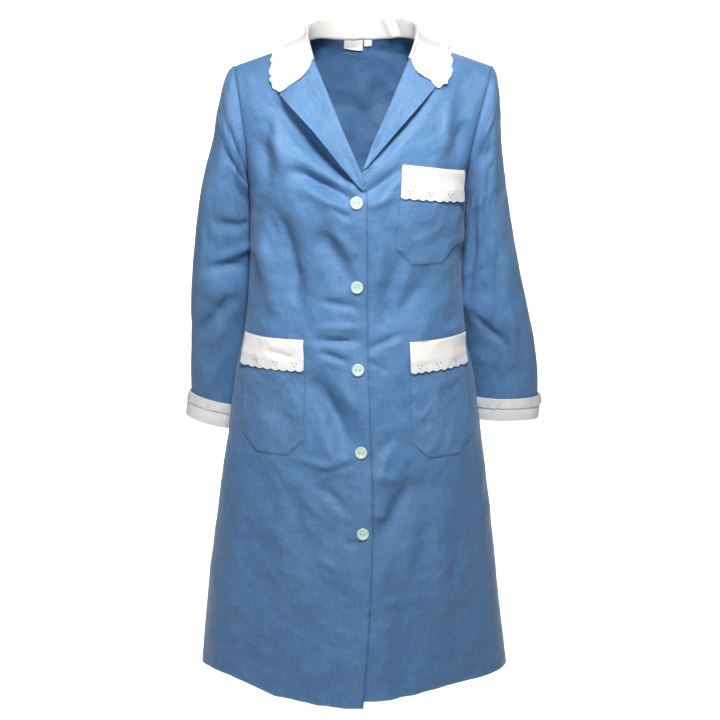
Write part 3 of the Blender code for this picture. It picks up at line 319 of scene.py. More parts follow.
def trimMaterial(name, eyeletRow=None, collar=False):
    look = trimLook
    material, shader, uv = newMaterial(name)
    across, along = split(uv)
    weave = across.sine(look["weave"]) * along.sine(look["weave"])
    mottle = uv.noise(*look["mottleNoise"])
    patches = uv.noise(*look["patchNoise"])
    slub = uv.stretched(look["slub"]).noise(*look["slubNoise"])
    byMottle, byPatch, bySlub = look["toneShares"]
    tone = mottle * byMottle + patches * byPatch + slub * bySlub + look["toneStart"]
    tone = tone.math("ADD", 0.0, clamp=True)
    # painted shade: the collar takes a dimmed copy of the white
    if collar:
        colour = tone.mixed(look["shadedCollarDark"], look["shadedCollarLight"])
    else:
        colour = tone.mixed(look["shade"], look["light"])
    height = weave * look["weaveHeight"] + slub * look["slubHeight"]
    height = height + uv.noise(*look["crumpleNoise"]) * look["crumple"]
    if eyeletRow is not None:
        eyelet = eyeletLook
        colour = tone.mixed(look["netShade"], look["netLight"])
        cell = across.math("FLOORED_MODULO", eyelet["pitch"]) - eyelet["pitch"] / 2
        hole = across * 0.0
        rim = across * 0.0
        radius = eyelet["radius"][name]
        for right, up in eyelet["holes"]:
            aside = cell - right
            above = along - (eyeletRow + up)
            distance = (aside * aside + above * above).math("SQRT")
            inside = (radius - distance).math("DIVIDE", eyelet["softEdge"], clamp=True)
            ring = distance.near(radius + eyelet["rim"] / 2, eyelet["rim"])
            hole = hole.math("MAXIMUM", inside)
            rim = rim.math("MAXIMUM", ring)
        pinCell = across.math("FLOORED_MODULO", eyelet["pinPitch"]) - eyelet["pinPitch"] / 2
        pinRim, pinReach = eyelet["pinRim"]
        fromEdge = attribute(uv, "edge")
        for row in eyelet["pinRows"]:
            above = fromEdge - row
            distance = (pinCell * pinCell + above * above).math("SQRT")
            inside = (eyelet["pinRadius"] - distance).math("DIVIDE", eyelet["pinSoftEdge"], clamp=True)
            ring = distance.near(eyelet["pinRadius"] + pinRim, pinReach)
            hole = hole.math("MAXIMUM", inside * eyelet["pinHole"])
            rim = rim.math("MAXIMUM", ring * eyelet["pinThread"])
        satin = 1 - fromEdge.math("DIVIDE", eyelet["satin"], clamp=True)
        threads = across.sine(eyelet["threadPitch"]) * 0.5 + 0.5
        rimHeight, threadHeight, satinHeight = eyelet["heights"]
        height = height + rim * rimHeight + satin * (threads * threadHeight + satinHeight)
        stitched = (rim * eyelet["rimTone"] + satin * eyelet["satinTone"]).math("ADD", 0.0, clamp=True)
        colour = stitched.mixed(colour, look["thread"])
        feed(shader, Alpha=1 - hole)
    bump = uv.node("ShaderNodeBump", {}, {"Height": height, "Distance": 1.0, "Strength": look["bump"]})
    rough = look["roughness"] + (mottle - 0.5) * look["mottleRoughness"]
    shader.inputs["Specular IOR Level"].default_value = look["specular"]
    shader.inputs["Sheen Weight"].default_value = look["sheen"]
    feed(shader, Base_Color=colour, Roughness=rough, Normal=bump)
    return material


def threadMaterial(name, dark, light):
    material, shader, _ = newMaterial(name)
    place = Wire(material.node_tree, shader.outputs[0]).node("ShaderNodeTexCoord", {}, {}, 3)
    twist = place.noise(2600.0, 2.0)
    colour = twist.mixed(dark, light)
    bump = place.node("ShaderNodeBump", {}, {"Height": twist, "Distance": 0.0003, "Strength": 0.6})
    feed(shader, Base_Color=colour, Roughness=0.55 + twist * 0.2, Normal=bump)
    return material


def buttonMaterial():
    material, shader, _ = newMaterial("mintButton")
    place = Wire(material.node_tree, shader.outputs[0]).node("ShaderNodeTexCoord", {}, {}, 3)
    cloud = place.noise(95.0, 3.0, 0.6)
    swirl = place.stretched((1.0, 1.0, 3.0)).noise(210.0, 2.0)
    colour = (cloud * 0.7 + swirl * 0.4).mixed((0.40, 0.62, 0.53, 1.0), (0.66, 0.82, 0.74, 1.0))
    bump = place.node("ShaderNodeBump", {}, {"Height": swirl, "Distance": 0.0002, "Strength": 0.35})
    shader.inputs["Coat Roughness"].default_value = 0.12
    shader.inputs["Specular IOR Level"].default_value = 0.55
    coat = 0.35 + cloud * 0.2
    feed(shader, Base_Color=colour, Roughness=0.26 + cloud * 0.16, Coat_Weight=coat, Normal=bump)
    return material


tunicCloth = clothMaterial("tunicCloth")
shadedInnerCloth = clothMaterial("shadedInnerCloth", inside=True)
dartedCloth = clothMaterial("dartedCloth", dartShade=(0.150, 0.176, 0.757))
trimCloth = trimMaterial("whiteTrim")
shadedCollarCloth = trimMaterial("shadedCollarTrim", collar=True)
laceCloth = trimMaterial("eyeletLace", eyeletRow=0.0085)
frillCloth = trimMaterial("frillLace", eyeletRow=0.0080)
blueThread = threadMaterial("blueThread", (0.075, 0.18, 0.385, 1.0), (0.14, 0.28, 0.52, 1.0))
whiteThread = threadMaterial("whiteThread", (0.72, 0.71, 0.69, 1.0), (0.93, 0.93, 0.92, 1.0))
mintButton = buttonMaterial()

print("the worn shape")

bodyForm = {
    "hemZ": -992.0,
    "armpitZ": -205.0,
    "shoulderTipZ": -37.0,
    "shoulderCentreZ": 27.0,
    "shoulderCentreX": 2.0,
    "shoulderHalf": 190.0,
    "seamY": 5.0,
    "armholeHollow": 4.0,
    "armholeFront": 52.0,
    "armholeBack": 50.0,
    "wrap": 50.0,
    "frontRounding": 0.8,
    "backRounding": 0.45,
    "neckHalf": 80.0,
    "napeY": 66.0,
    "clothThick": 0.9,
    "seamGap": 0.3,
    "leanIn": 0.07,
    # height, centre, half width, front depth, back depth, squareness
    "sections": (
        (-992, -15.5, 249.5, 165, 152, 1.56),
        (-880, -16.5, 236.5, 153, 141, 1.7),
        (-710, -13.5, 214.5, 140, 128, 1.95),
        (-610, -12, 200, 132, 119, 2.1),
        (-500, -12, 184, 122, 106, 2.2),
        (-435, -11.5, 170.5, 116, 96, 2.3),
        (-370, -9, 164, 115, 90, 2.3),
        (-300, -8, 162, 124, 95, 2.3),
        (-250, -7, 162, 133, 102, 2.3),
        (-205, -7, 163, 132, 106, 2.3),
    ),
}


def smooth(rows, column, at):
    table = np.asarray(rows, float)
    knots = table[:, 0]
    values = table[:, column]
    slopes = np.gradient(values, knots)
    at = np.asarray(at, float)
    i = np.clip(np.searchsorted(knots, at) - 1, 0, len(knots) - 2)
    step = knots[i + 1] - knots[i]
    t = np.clip((at - knots[i]) / step, 0.0, 1.0)
    return (
        values[i] * (2 * t**3 - 3 * t**2 + 1)
        + slopes[i] * step * (t**3 - 2 * t**2 + t)
        + values[i + 1] * (3 * t**2 - 2 * t**3)
        + slopes[i + 1] * step * (t**3 - t**2)
    )


def straight(rows, column, at):
    table = np.asarray(rows, float)
    return np.interp(at, table[:, 0], table[:, column])


def softStep(value):
    value = np.clip(value, 0, 1)
    return value * value * (3 - 2 * value)


def roundedSquare(angle, squareness):
    s = np.sin(angle)
    c = np.cos(angle)
    size = (np.abs(s) ** squareness + np.abs(c) ** squareness) ** (1 / squareness)
    return s / size, c / size


def figure(across, up):
    # across is -1 to 1 between side seams or armholes; up is 0 at the front hem, 1 armpit, 2 shoulder seam,
    # 3 armpit behind, 4 back hem
    form = bodyForm
    across, up = np.broadcast_arrays(np.asarray(across, float), np.asarray(up, float))
    behind = up > 2
    row = np.where(behind, 4 - up, up)
    sign = np.where(behind, 1.0, -1.0)
    zLow = form["hemZ"] + (form["armpitZ"] - form["hemZ"]) * np.clip(row, 0, 1)
    sections = form["sections"]
    depth = np.where(behind, smooth(sections, 4, zLow), smooth(sections, 3, zLow))
    half = smooth(sections, 2, zLow)
    centre = smooth(sections, 1, zLow)
    rise = np.clip(row - 1, 0, None)
    arch = np.cos(np.pi / 2 * rise)
    gain = 1 - arch**2
    # the form starts to lean back over a few centimetres, so the fullest line of the chest is no ridge
    late = gain - form["leanIn"] * (1 - np.exp(-gain / form["leanIn"])) * (1 - gain) ** 2
    halfEnd = half + (form["shoulderHalf"] - half) * late - form["armholeHollow"] * np.sin(np.pi * late)
    centre = centre + (form["shoulderCentreX"] - centre) * late
    wrap = np.radians(90 - form["wrap"] * late)
    squareness = smooth(sections, 5, zLow)
    xEnd, yEnd = roundedSquare(wrap, squareness)
    xHere, yHere = roundedSquare(across * wrap, squareness)
    shareX = xHere / xEnd
    shareY = (yHere - yEnd) / (1 - yEnd)
    rounding = np.where(behind, form["backRounding"], form["frontRounding"])
    bend = np.clip(1 - late, 0, 1) ** (rounding / 2)
    yCentre = form["seamY"] + (sign * depth - form["seamY"]) * bend
    reach = np.where(behind, form["armholeBack"], form["armholeFront"])
    # the armhole's rounded foot belongs to the edge alone, and dies out inwards
    brim = np.abs(across) ** 8
    belly = 2 * late / np.sqrt(late + 0.15) * np.sqrt(np.clip(1 - late, 0, 1))
    yEdge = sign * reach * (brim * np.sin(np.pi * rise) + (1 - brim) * belly)
    zCentre = zLow + (form["shoulderCentreZ"] - form["armpitZ"]) * gain
    zEdge = zLow + (form["shoulderTipZ"] - form["armpitZ"]) * gain
    fall = np.abs(shareX) ** (3 - 2 * gain)
    x = centre + halfEnd * shareX
    y = yEdge + (yCentre - yEdge) * shareY
    z = zEdge + (zCentre - zEdge) * (1 - fall)
    return np.stack([x, y, z], axis=-1)


def unit(vectors):
    return vectors / np.maximum(np.linalg.norm(vectors, axis=-1, keepdims=True), 1e-12)


def figureNormal(across, up):
    across, up = np.broadcast_arrays(np.asarray(across, float), np.asarray(up, float))
    step = 0.002
    low = np.clip(up - step, 0, 4)
    high = np.clip(up + step, 0, 4)
    stepUp = figure(across, high) - figure(across, low)
    stepAcross = figure(across + step, up) - figure(across - step, up)
    return unit(np.cross(stepAcross, stepUp))


drapeSizes = {
    "creaseGain": 2.6,
    # seed, height and, where stated, longest wave, shortest wave and count
    "frontUneven": (11, 1.2),
    "frontWrinkles": ((17, 2.5), (19, 1.7, 70.0, 26.0, 16)),
    "backUneven": (29, 1.4),
    "backWrinkles": ((35, 2.5), (37, 1.7, 70.0, 26.0, 16)),
    "sideFade": 6,
    "topFade": 4,
    "flutes": 5,
    "fluteGrowth": 1.5,
    "fluteShift": 0.9,
    # troughs of the fronts alone, under the lapels' outer edges
    "underLapel": {
        -1: (
            (-136, -82, -14, -200, 15, -23, 0),
            (-154, -122, -66, -204, 13, 4.5, 0),
        ),
        1: ((112.0, -64.0, 6.0, -190.0, 8.0, -5.0, 0.0),),
    },
    "fluteDepth": 5.0,
    "fluteTopZ": -430.0,
    # start x, start z, end x, end z, half width, height, bow sideways
    "frontFolds": (
        (-112, -172, -24, -226, 15, -8, 0),
        (-128, -225, -88, -440, 18, -9, 0),
        (-64, -262, -26, -360, 16, -6, 0),
        (-78, -478, -20, -606, 17, -11, 4),
        (-52, -622, -6, -668, 15, -6, 0),
        (-110, -628, -52, -690, 16, 5, 0),
        (18, -628, 66, -652, 16, 3, 0),
        (100, -326, 34, -424, 16, -7, 0),
        (90, -640, 28, -755, 20, -6, 0),
        (-142, -85, -134, -200, 15, -6, 0),
        (150, -75, 136, -170, 15, -6, 0),
    ),
    "frontCreases": (
        (-104, -182, -8, -230, 8, -5, 3),
        (-92, -206, -16, -244, 8, 3.2, 2),
        (-46, -232, -14, -252, 5, -2.2, 0),
        (-138, -250, -124, -286, 4, -1.5, 1),
        (-129, -254, -117, -300, 4, 1.1, 0),
        (-141, -272, -128, -312, 4, -1.2, 0),
        (-30, -520, 4, -600, 9, -1.8, 3),
        (-66, -560, -30, -640, 9, 1.5, 2),
        (26, -520, 62, -600, 10, -1.8, -3),
        (-16, -650, -44, -740, 10, -1.7, 3),
        (34, -760, 10, -850, 11, 1.6, 3),
        (-100, -700, -76, -800, 12, -1.7, 3),
        (100, -700, 84, -800, 12, -1.7, 3),
        (2, -218, 60, -176, 8, -3.8, -2),
        (6, -236, 48, -216, 7, 2, 0),
        (-126, -236, -92, -400, 12, -4, 5),
        (-150, -250, -130, -400, 11, 3.4, 0),
        (-62, -272, -12, -350, 11, -3, 4),
        (-44, -262, -8, -310, 8, 1.8, 0),
        (-62, -374, -4, -384, 6, -2.2, 1),
        (-74, -430, 4, -432, 6, -2.8, -2),
        (-70, -412, 0, -412, 6, 1.7, 0),
        (-64, -448, -14, -468, 5, -3, 1.5),
        (6, -446, 62, -424, 6, -2.2, 1.5),
        (4, -462, 40, -478, 5, -1.6, 0),
        (-74, -488, -12, -596, 11, -4, 4),
        (-96, -612, -30, -628, 7, 2.4, 3),
        (-60, -628, -8, -616, 6, -1.8, 0),
        (2, -628, 70, -640, 9, 1.2, -3),
        (6, -612, 58, -570, 9, -1.2, 0),
        (-92, -660, -60, -700, 7, 1.8, 0),
        (-70, -650, -34, -672, 6, -1.6, 0),
        (-44, -680, -20, -706, 6, 1.6, 0),
        (-30, -730, 0, -742, 6, -1.4, 0),
        (8, -690, 40, -700, 6, 1.4, 0),
        (-64, -762, -36, -776, 6, 1.5, 0),
        (30, -824, 56, -836, 6, 1.3, 0),
        (-40, -484, -10, -540, 8, 2, 0),
        (62, -300, 30, -418, 12, -3.2, -3),
        (36, -270, 20, -350, 9, 1.8, 0),
        (72, -640, 18, -735, 14, -3.2, 4),
        (40, -600, 14, -660, 9, 1.8, 0),
        (-60, -640, -20, -700, 12, -2.4, 0),
        (-150, -130, -140, -215, 11, -4, 0),
        (-128, -96, -118, -190, 9, 1.8, 0),
        (152, -115, 137, -172, 10, -3.4, 0),
        (128, -90, 118, -160, 9, 1.6, 0),
        (-118, -640, -128, -860, 16, 2.4, 4),
        (120, -660, 132, -880, 16, 2.2, -4),
        (-30, -780, -58, -930, 18, -2.8, 5),
        (56, -800, 82, -940, 18, -2.6, -5),
        (-140, -452, -96, -462, 6, -1.6, 0),
        (150, -300, 140, -420, 12, -3.2, 3),
    ),
    # the pressed lines that run down the skirt from beside the pockets
    "pressedLines": (
        (-128, -470, -166, -975, 3.2, 0.9, 2),
        (104, -620, 122, -975, 3.2, 0.8, 2),
        (-88, -250, -100, -430, 3, 0.6, 2),
    ),
    "backFolds": (
        (-128, -150, -75, -330, 18, -9, 0),
        (118, -145, 70, -320, 18, -8, 0),
        (-100, -355, 10, -398, 17, -7, 0),
        (98, -345, 5, -410, 17, -6, 0),
        (-60, -430, -85, -780, 26, -9, 0),
        (62, -440, 92, -810, 26, -8, 0),
    ),
    "backCreases": (
        (-120, -160, -70, -300, 11, -4, 6),
        (-98, -140, -58, -260, 9, 2.4, 5),
        (112, -150, 66, -305, 11, -4, -6),
        (92, -128, 54, -250, 9, 2.4, -5),
        (-112, -352, -8, -392, 8, -3.4, 4),
        (104, -338, 8, -400, 8, -3.2, -4),
        (-86, -384, 20, -424, 7, 2.2, 3),
        (90, -372, 14, -436, 7, 2, -3),
        (-120, -410, -40, -440, 7, -2.2, 2),
        (118, -404, 46, -446, 7, -2.2, -2),
        (-30, -100, -44, -210, 14, -2.6, 4),
        (32, -96, 40, -220, 14, -2.6, -4),
        (0, -30, 4, -120, 12, -1.8, 0),
        (-66, -450, -80, -740, 15, -3, 7),
        (66, -460, 90, -760, 15, -3, -7),
        (0, -470, 6, -820, 20, 2.6, 5),
        (-130, -560, -160, -900, 18, 2.6, 5),
        (134, -570, 160, -910, 18, 2.4, -5),
    ),
}


def foldDepth(first, second, folds):
    depth = np.zeros(np.shape(first))
    for x0, z0, x1, z1, halfWidth, height, bow in folds:
        run = np.array([x1 - x0, z1 - z0])
        length = np.linalg.norm(run)
        along = ((first - x0) * run[0] + (second - z0) * run[1]) / length**2
        off = ((first - x0) * run[1] - (second - z0) * run[0]) / length
        off = off + bow * 4 * along * (1 - along)
        swell = np.sin(np.pi * np.clip(along, 0, 1)) ** 0.7
        depth += height * swell * np.exp(-((off / halfWidth) ** 2))
    return depth


def unevenness(first, second, seed, height, longest=150.0, shortest=34.0, count=20):
    # soft wandering of cloth that has been worn: many low waves in fixed random directions
    chance = np.random.default_rng(seed)
    total = np.zeros(np.shape(first))
    for _ in range(count):
        wavelength = chance.uniform(shortest, longest)
        turn, phase = chance.uniform(0, 2 * np.pi, 2)
        wave = (first * np.cos(turn) + second * np.sin(turn)) * 2 * np.pi / wavelength + phase
        total += np.sin(wave) * wavelength / longest
    return height * total / np.sqrt(count)


def wrinkles(first, second, seed, height, longest=150.0, shortest=60.0, count=11):
    # creases with narrow crests, which come and go in patches
    chance = np.random.default_rng(seed)
    shiftFirst = unevenness(first, second, seed + 1, 10.0, 220.0, 90.0, 8)
    shiftSecond = unevenness(first, second, seed + 2, 10.0, 220.0, 90.0, 8)
    total = np.zeros(np.shape(first))
    for _ in range(count):
        wavelength = chance.uniform(shortest, longest)
        turn, phase, patchTurn, patchPhase = chance.uniform(0, 2 * np.pi, 4)
        run = (first + shiftFirst) * np.cos(turn) + (second + shiftSecond) * np.sin(turn)
        crest = np.clip(1 - np.sqrt(np.sin(run * np.pi / wavelength + phase) ** 2 + 0.015), 0, 1)
        patch = first * np.cos(patchTurn) + second * np.sin(patchTurn)
        patch = 0.5 + 0.5 * np.sin(patch * 2 * np.pi / (wavelength * 1.9) + patchPhase)
        total += patch**2 * crest**1.7 * wavelength / longest
    return height * (total - 0.3)


def reseeded(waves, more):
    # the same kind of waves with another seed
    return (waves[0] + more, *waves[1:])


def drape(across, up, points):
    across, up = np.broadcast_arrays(np.asarray(across, float), np.asarray(up, float))
    behind = up > 2
    x, z = points[..., 0], points[..., 2]
    sizes = drapeSizes
    depths = []
    for part in ("front", "back"):
        depth = foldDepth(x, z, sizes[f"{part}Folds"])
        depth = depth + foldDepth(x, z, sizes[f"{part}Creases"]) * sizes["creaseGain"]
        if part == "front":
            depth = depth + foldDepth(x, z, sizes["pressedLines"])
        depth = depth + unevenness(x, z, *sizes[f"{part}Uneven"])
        for waves in sizes[f"{part}Wrinkles"]:
            depth = depth + wrinkles(x, z, *waves)
        depths.append(depth)
    row = np.where(behind, 4 - up, up)
    fade = (1 - np.abs(across) ** sizes["sideFade"]) * np.clip((2 - row) * sizes["topFade"], 0, 1)
    turn = np.where(behind, np.pi - across * np.pi / 2, across * np.pi / 2)
    hem, top = bodyForm["hemZ"], sizes["fluteTopZ"]
    level = np.clip((top - z) / (top - hem), 0, 1)
    flutes = sizes["fluteDepth"] * level ** sizes["fluteGrowth"]
    flutes = flutes * np.sin(sizes["flutes"] * turn + sizes["fluteShift"])
    return np.where(behind, depths[1], depths[0]) * fade + flutes


def cloth(across, up, offset=0.0):
    points = figure(across, up)
    lift = drape(across, up, points) + offset
    return points + figureNormal(across, up) * np.asarray(lift)[..., None]


def locate(x, other, axis, behind=False):
    # across and up where the worn shape has this x and this z (axis 2) or y (axis 1)
    x = np.asarray(x, float)
    other = np.asarray(other, float)
    hem, armpit = bodyForm["hemZ"], bodyForm["armpitZ"]
    across = np.clip(x / bodyForm["shoulderHalf"] * 0.8, -0.9, 0.9)
    if axis == 2:
        share = np.clip((other - armpit) / (-armpit), 0, 0.9)
        rise = 1 + 2 / np.pi * np.arcsin(np.sqrt(share))
        up = np.where(other < armpit, (other - hem) / (armpit - hem), rise)
    else:
        up = np.full(x.shape, 1.6)
    step = 1e-4
    for _ in range(24):
        here = figure(across, 4 - up if behind else up)
        byAcross = (figure(across + step, 4 - up if behind else up) - here) / step
        byUp = (figure(across, 4 - up - step if behind else up + step) - here) / step
        missX = x - here[..., 0]
        miss = other - here[..., axis]
        cross = byAcross[..., 0] * byUp[..., axis] - byUp[..., 0] * byAcross[..., axis]
        cross = np.where(np.abs(cross) < 1e-6, 1e-6, cross)
        moveAcross = (missX * byUp[..., axis] - byUp[..., 0] * miss) / cross
        moveUp = (byAcross[..., 0] * miss - missX * byAcross[..., axis]) / cross
        across = across + np.clip(moveAcross, -0.1, 0.1)
        up = np.clip(up + np.clip(moveUp, -0.1, 0.1), 0.0, 2.0)
    return across, 4 - up if behind else up


def gridUv(grid, around=False):
    # metres along the rows and up the columns of a grid
    if around:
        grid = np.concatenate([grid, grid[:, :1]], axis=1)
    sideways = np.linalg.norm(np.diff(grid, axis=1), axis=-1)
    upward = np.linalg.norm(np.diff(grid, axis=0), axis=-1)
    u = np.concatenate([np.zeros((len(grid), 1)), np.cumsum(sideways, axis=1)], axis=1)
    v = np.concatenate([np.zeros((1, grid.shape[1])), np.cumsum(upward, axis=0)], axis=0)
    return np.stack([u, v], axis=-1) * mm


clothSharp = 55  # degrees; steeper edges of cloth stay sharp


def shell(name, outer, inner, material, around=False, uv=None, insideShadeMaterial=None, **values):
    # a closed thin wall of cloth between two grids; values are one number for each point of the grid
    rows, columns = outer.shape[:2]
    half = rows * columns
    spans = columns if around else columns - 1
    r, c = np.meshgrid(np.arange(rows - 1), np.arange(spans), indexing="ij")
    corner = ((0, 0), (0, 1), (1, 1), (1, 0))
    ring = np.stack([np.stack([r + i, c + j], -1) for i, j in corner], axis=-2).reshape(-1, 4, 2)
    top = np.concatenate([ring, np.zeros(ring.shape[:2] + (1,), int)], axis=-1)
    under = np.concatenate([ring, np.ones(ring.shape[:2] + (1,), int)], axis=-1)[:, ::-1]
    parts = [top, under]

    def rim(first, second):
        # a strip of faces along an edge, from the outer points to the inner ones
        a = np.concatenate([first, np.zeros((len(first), 1), int)], axis=1)
        b = np.concatenate([second, np.zeros((len(second), 1), int)], axis=1)
        a2, b2 = a.copy(), b.copy()
        a2[:, 2] = 1
        b2[:, 2] = 1
        parts.append(np.stack([b, a, a2, b2], axis=1))

    lane = np.arange(spans)
    first = np.stack([np.zeros_like(lane), lane], axis=1)
    rim(first, first + [0, 1])
    last = np.stack([np.full_like(lane, rows - 1), lane], axis=1)
    rim(last + [0, 1], last)
    if not around:
        lane = np.arange(rows - 1)
        start = np.stack([lane, np.zeros_like(lane)], axis=1)
        rim(start + [1, 0], start)
        end = np.stack([lane, np.full_like(lane, columns - 1)], axis=1)
        rim(end, end + [1, 0])
    corners = np.concatenate(parts)
    faces = corners[..., 2] * half + corners[..., 0] * columns + corners[..., 1] % columns
    points = np.concatenate([outer.reshape(-1, 3), inner.reshape(-1, 3)]) * mm
    # the winding is right when the outer faces look away from the inner points
    quad = points[faces[: len(ring)]]
    facing = np.cross(quad[:, 1] - quad[:, 0], quad[:, 2] - quad[:, 0])
    away = (outer - inner).reshape(-1, 3)[faces[: len(ring), 0]]
    if np.sum(facing * away) < 0:
        faces = faces[:, ::-1]
        corners = corners[:, ::-1]
    mesh = bpy.data.meshes.new(name)
    mesh.vertices.add(len(points))
    mesh.vertices.foreach_set("co", points.astype(np.float32).reshape(-1))
    mesh.loops.add(faces.size)
    mesh.loops.foreach_set("vertex_index", faces.astype(np.int32).reshape(-1))
    mesh.polygons.add(len(faces))
    mesh.polygons.foreach_set("loop_start", np.arange(0, faces.size, 4, dtype=np.int32))
    if uv is None:
        uv = gridUv(outer, around)
    layer = mesh.uv_layers.new(name="cloth")
    layer.data.foreach_set("uv", uv[corners[..., 0], corners[..., 1]].astype(np.float32).reshape(-1))
    for key in ("wear", "edge", "seam"):
        value = np.broadcast_to(values.get(key, 0.0), (rows, columns))
        store = mesh.attributes.new(key, "FLOAT", "POINT")
        store.data.foreach_set("value", np.tile(value.reshape(-1), 2).astype(np.float32))
    mesh.update(calc_edges=True)
    mesh.validate()
    mesh.shade_smooth()
    mesh.set_sharp_from_angle(angle=math.radians(clothSharp))
    mesh.materials.append(material)
    # the inner faces take the darker inside material: painted shade
    if insideShadeMaterial:
        mesh.materials.append(insideShadeMaterial)
        within = np.zeros(len(faces), np.int32)
        within[len(ring) : 2 * len(ring)] = 1
        mesh.polygons.foreach_set("material_index", within)
    made = bpy.data.objects.new(name, mesh)
    bpy.context.scene.collection.objects.link(made)
    return made


def gridNormals(grid, around=False):
    byRow = np.gradient(grid, axis=0)
    if around:
        byColumn = np.roll(grid, -1, axis=1) - np.roll(grid, 1, axis=1)
    else:
        byColumn = np.gradient(grid, axis=1)
    return unit(np.cross(byColumn, byRow))


def bothSides(grid, thickness):
    normals = gridNormals(grid)
    return grid + normals * thickness / 2, grid - normals * thickness / 2


def seamDip(distance, depth=1.1, reach=2.4):
    # cloth rolls in along a seam
    return -depth * np.exp(-((distance / reach) ** 2))


clothPieces = {}


def dress(piece, node):
    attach(piece, "root")
    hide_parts(node)
    clothPieces[node] = piece


print("fronts and back")

frontSizes = {
    "lapelFootZ": -215.0,
    "lapHalf": 16.0,
    "lapLift": 2.2,
    "lapBlend": 45.0,
    "leftHemRise": 10.0,
    "rightHemRise": 15.0,
    "lapColumns": 9,
    "columns": 64,
    "lowerRows": 218,
    "upperRows": 72,
    # height, x of the centre front
    "centreFront": (
        (-992.0, -15.0), (-860.0, -5.0), (-721.0, 1.0), (-598.0, -1.5),
        (-479.0, -6.0), (-356.0, -7.5), (-215.0, -8.0),
    ),
    # height, x of the right front's turned edge, x of the left one's
    "breakLines": ((-215.0, 8.0, -24.0), (-184.0, -6.0, 1.5), (-35.0, -70.0, 68.0), (0.0, -80.0, 80.0)),
    "gorgeZ": -33.0,
    "lapMargin": 8.0,
    "sideColumn": 0.35,  # of a column's width, for the one close to the side seam
    "shoulderScale": 300.0,  # millimetres for each unit of up near the shoulder seam
    # ripples along the hem's stitching: wavelength / 2 pi and strength; height, middle and reach from the hem
    "hemWaves": ((4.1, 1.0), (6.7, 0.7), (2.6, 0.5)),
    "hemRipple": (0.28, 13.0, 9.0),
    # wear at the hem, and painted shade along the front edge and side seams: strength and reach in
    # millimetres
    "hemWear": 2.5,
    "edgeShade": 1.3,
    "sideSeamShade": (0.8, 1.6),
}


def closedOn(low, high, isLow):
    # halves a range again and again, towards the place where isLow turns false
    for _ in range(36):
        middle = (low + high) / 2
        below = isLow(middle)
        low = np.where(below, middle, low)
        high = np.where(below, high, middle)
    return (low + high) / 2


def lappedLift(x, z, side):
    if side > 0:
        return np.zeros_like(x)
    sizes = frontSizes
    fromCentre = x - straight(sizes["centreFront"], 1, z)
    share = (fromCentre + sizes["lapHalf"] + sizes["lapMargin"] + sizes["lapBlend"]) / sizes["lapBlend"]
    return sizes["lapLift"] * softStep(share)


def frontEdgeX(z, side):
    sizes = frontSizes
    lapped = straight(sizes["centreFront"], 1, z) - side * sizes["lapHalf"]
    broken = straight(sizes["breakLines"], 1 if side < 0 else 2, z)
    return np.where(z < sizes["lapelFootZ"], lapped, broken)


def acrossAt(up, side, xOfZ):
    def isInside(middle):
        here = figure(middle * side, up)
        return (here[..., 0] - xOfZ(here[..., 2])) * side < 0

    return closedOn(np.full(up.shape, -0.5), np.full(up.shape, 1.0), isInside) * side


def frontEdgeAcross(up, side):
    return acrossAt(up, side, lambda z: frontEdgeX(z, side))


def upWhereEdgeIs(height, side, low=1.0, high=2.0):
    def isBelow(middle):
        level = np.array([middle])
        return figure(frontEdgeAcross(level, side), level)[0, 2] < height

    return float(closedOn(low, high, isBelow))


def panelRows():
    lower = np.linspace(0, 1, frontSizes["lowerRows"] + 1)
    upper = np.linspace(1, 2, frontSizes["upperRows"] + 1)
    return np.concatenate([lower, upper[1:]])


def frontGrid(side):
    sizes = frontSizes
    rows = panelRows()
    strips = [
        acrossAt(rows, side, lambda z, more=more: frontEdgeX(z, side) + side * more)
        for more in np.linspace(0, 2 * sizes["lapHalf"], sizes["lapColumns"])
    ]
    share = np.linspace(0, 1, sizes["columns"] + 1)[1:]
    share = np.insert(share, -1, 1 - sizes["sideColumn"] / sizes["columns"])
    rest = strips[-1][:, None] + (side - strips[-1][:, None]) * share[None, :]
    across = np.concatenate([np.stack(strips, axis=1), rest], axis=1)
    if side > 0:
        rise = sizes["leftHemRise"] * (1 - np.abs(across) ** 2)
    else:
        rise = sizes["rightHemRise"] * np.sin(np.pi * np.clip((np.abs(across) - 0.35) / 0.65, 0, 1))
    fade = np.clip(1 - rows[:, None] * 4, 0, 1)
    return across, rows[:, None] + rise / (bodyForm["armpitZ"] - bodyForm["hemZ"]) * fade


def rowDistance(points, column):
    # millimetres from one column of a grid, along each row
    steps = np.linalg.norm(np.diff(points, axis=1), axis=-1)
    along = np.concatenate([np.zeros((len(points), 1)), np.cumsum(steps, axis=1)], axis=1)
    return np.abs(along - along[:, [column]])


def hemPucker(fromHem, along, seed):
    # shallow ripples along the hem's stitching
    waves = frontSizes["hemWaves"]
    phases = np.random.default_rng(seed).uniform(0, 6, len(waves))
    ripple = 0
    for (length, strength), phase in zip(waves, phases):
        ripple = ripple + strength * np.sin(along / length + phase)
    height, middle, reach = frontSizes["hemRipple"]
    return height * ripple * np.exp(-(((fromHem - middle) / reach) ** 2))


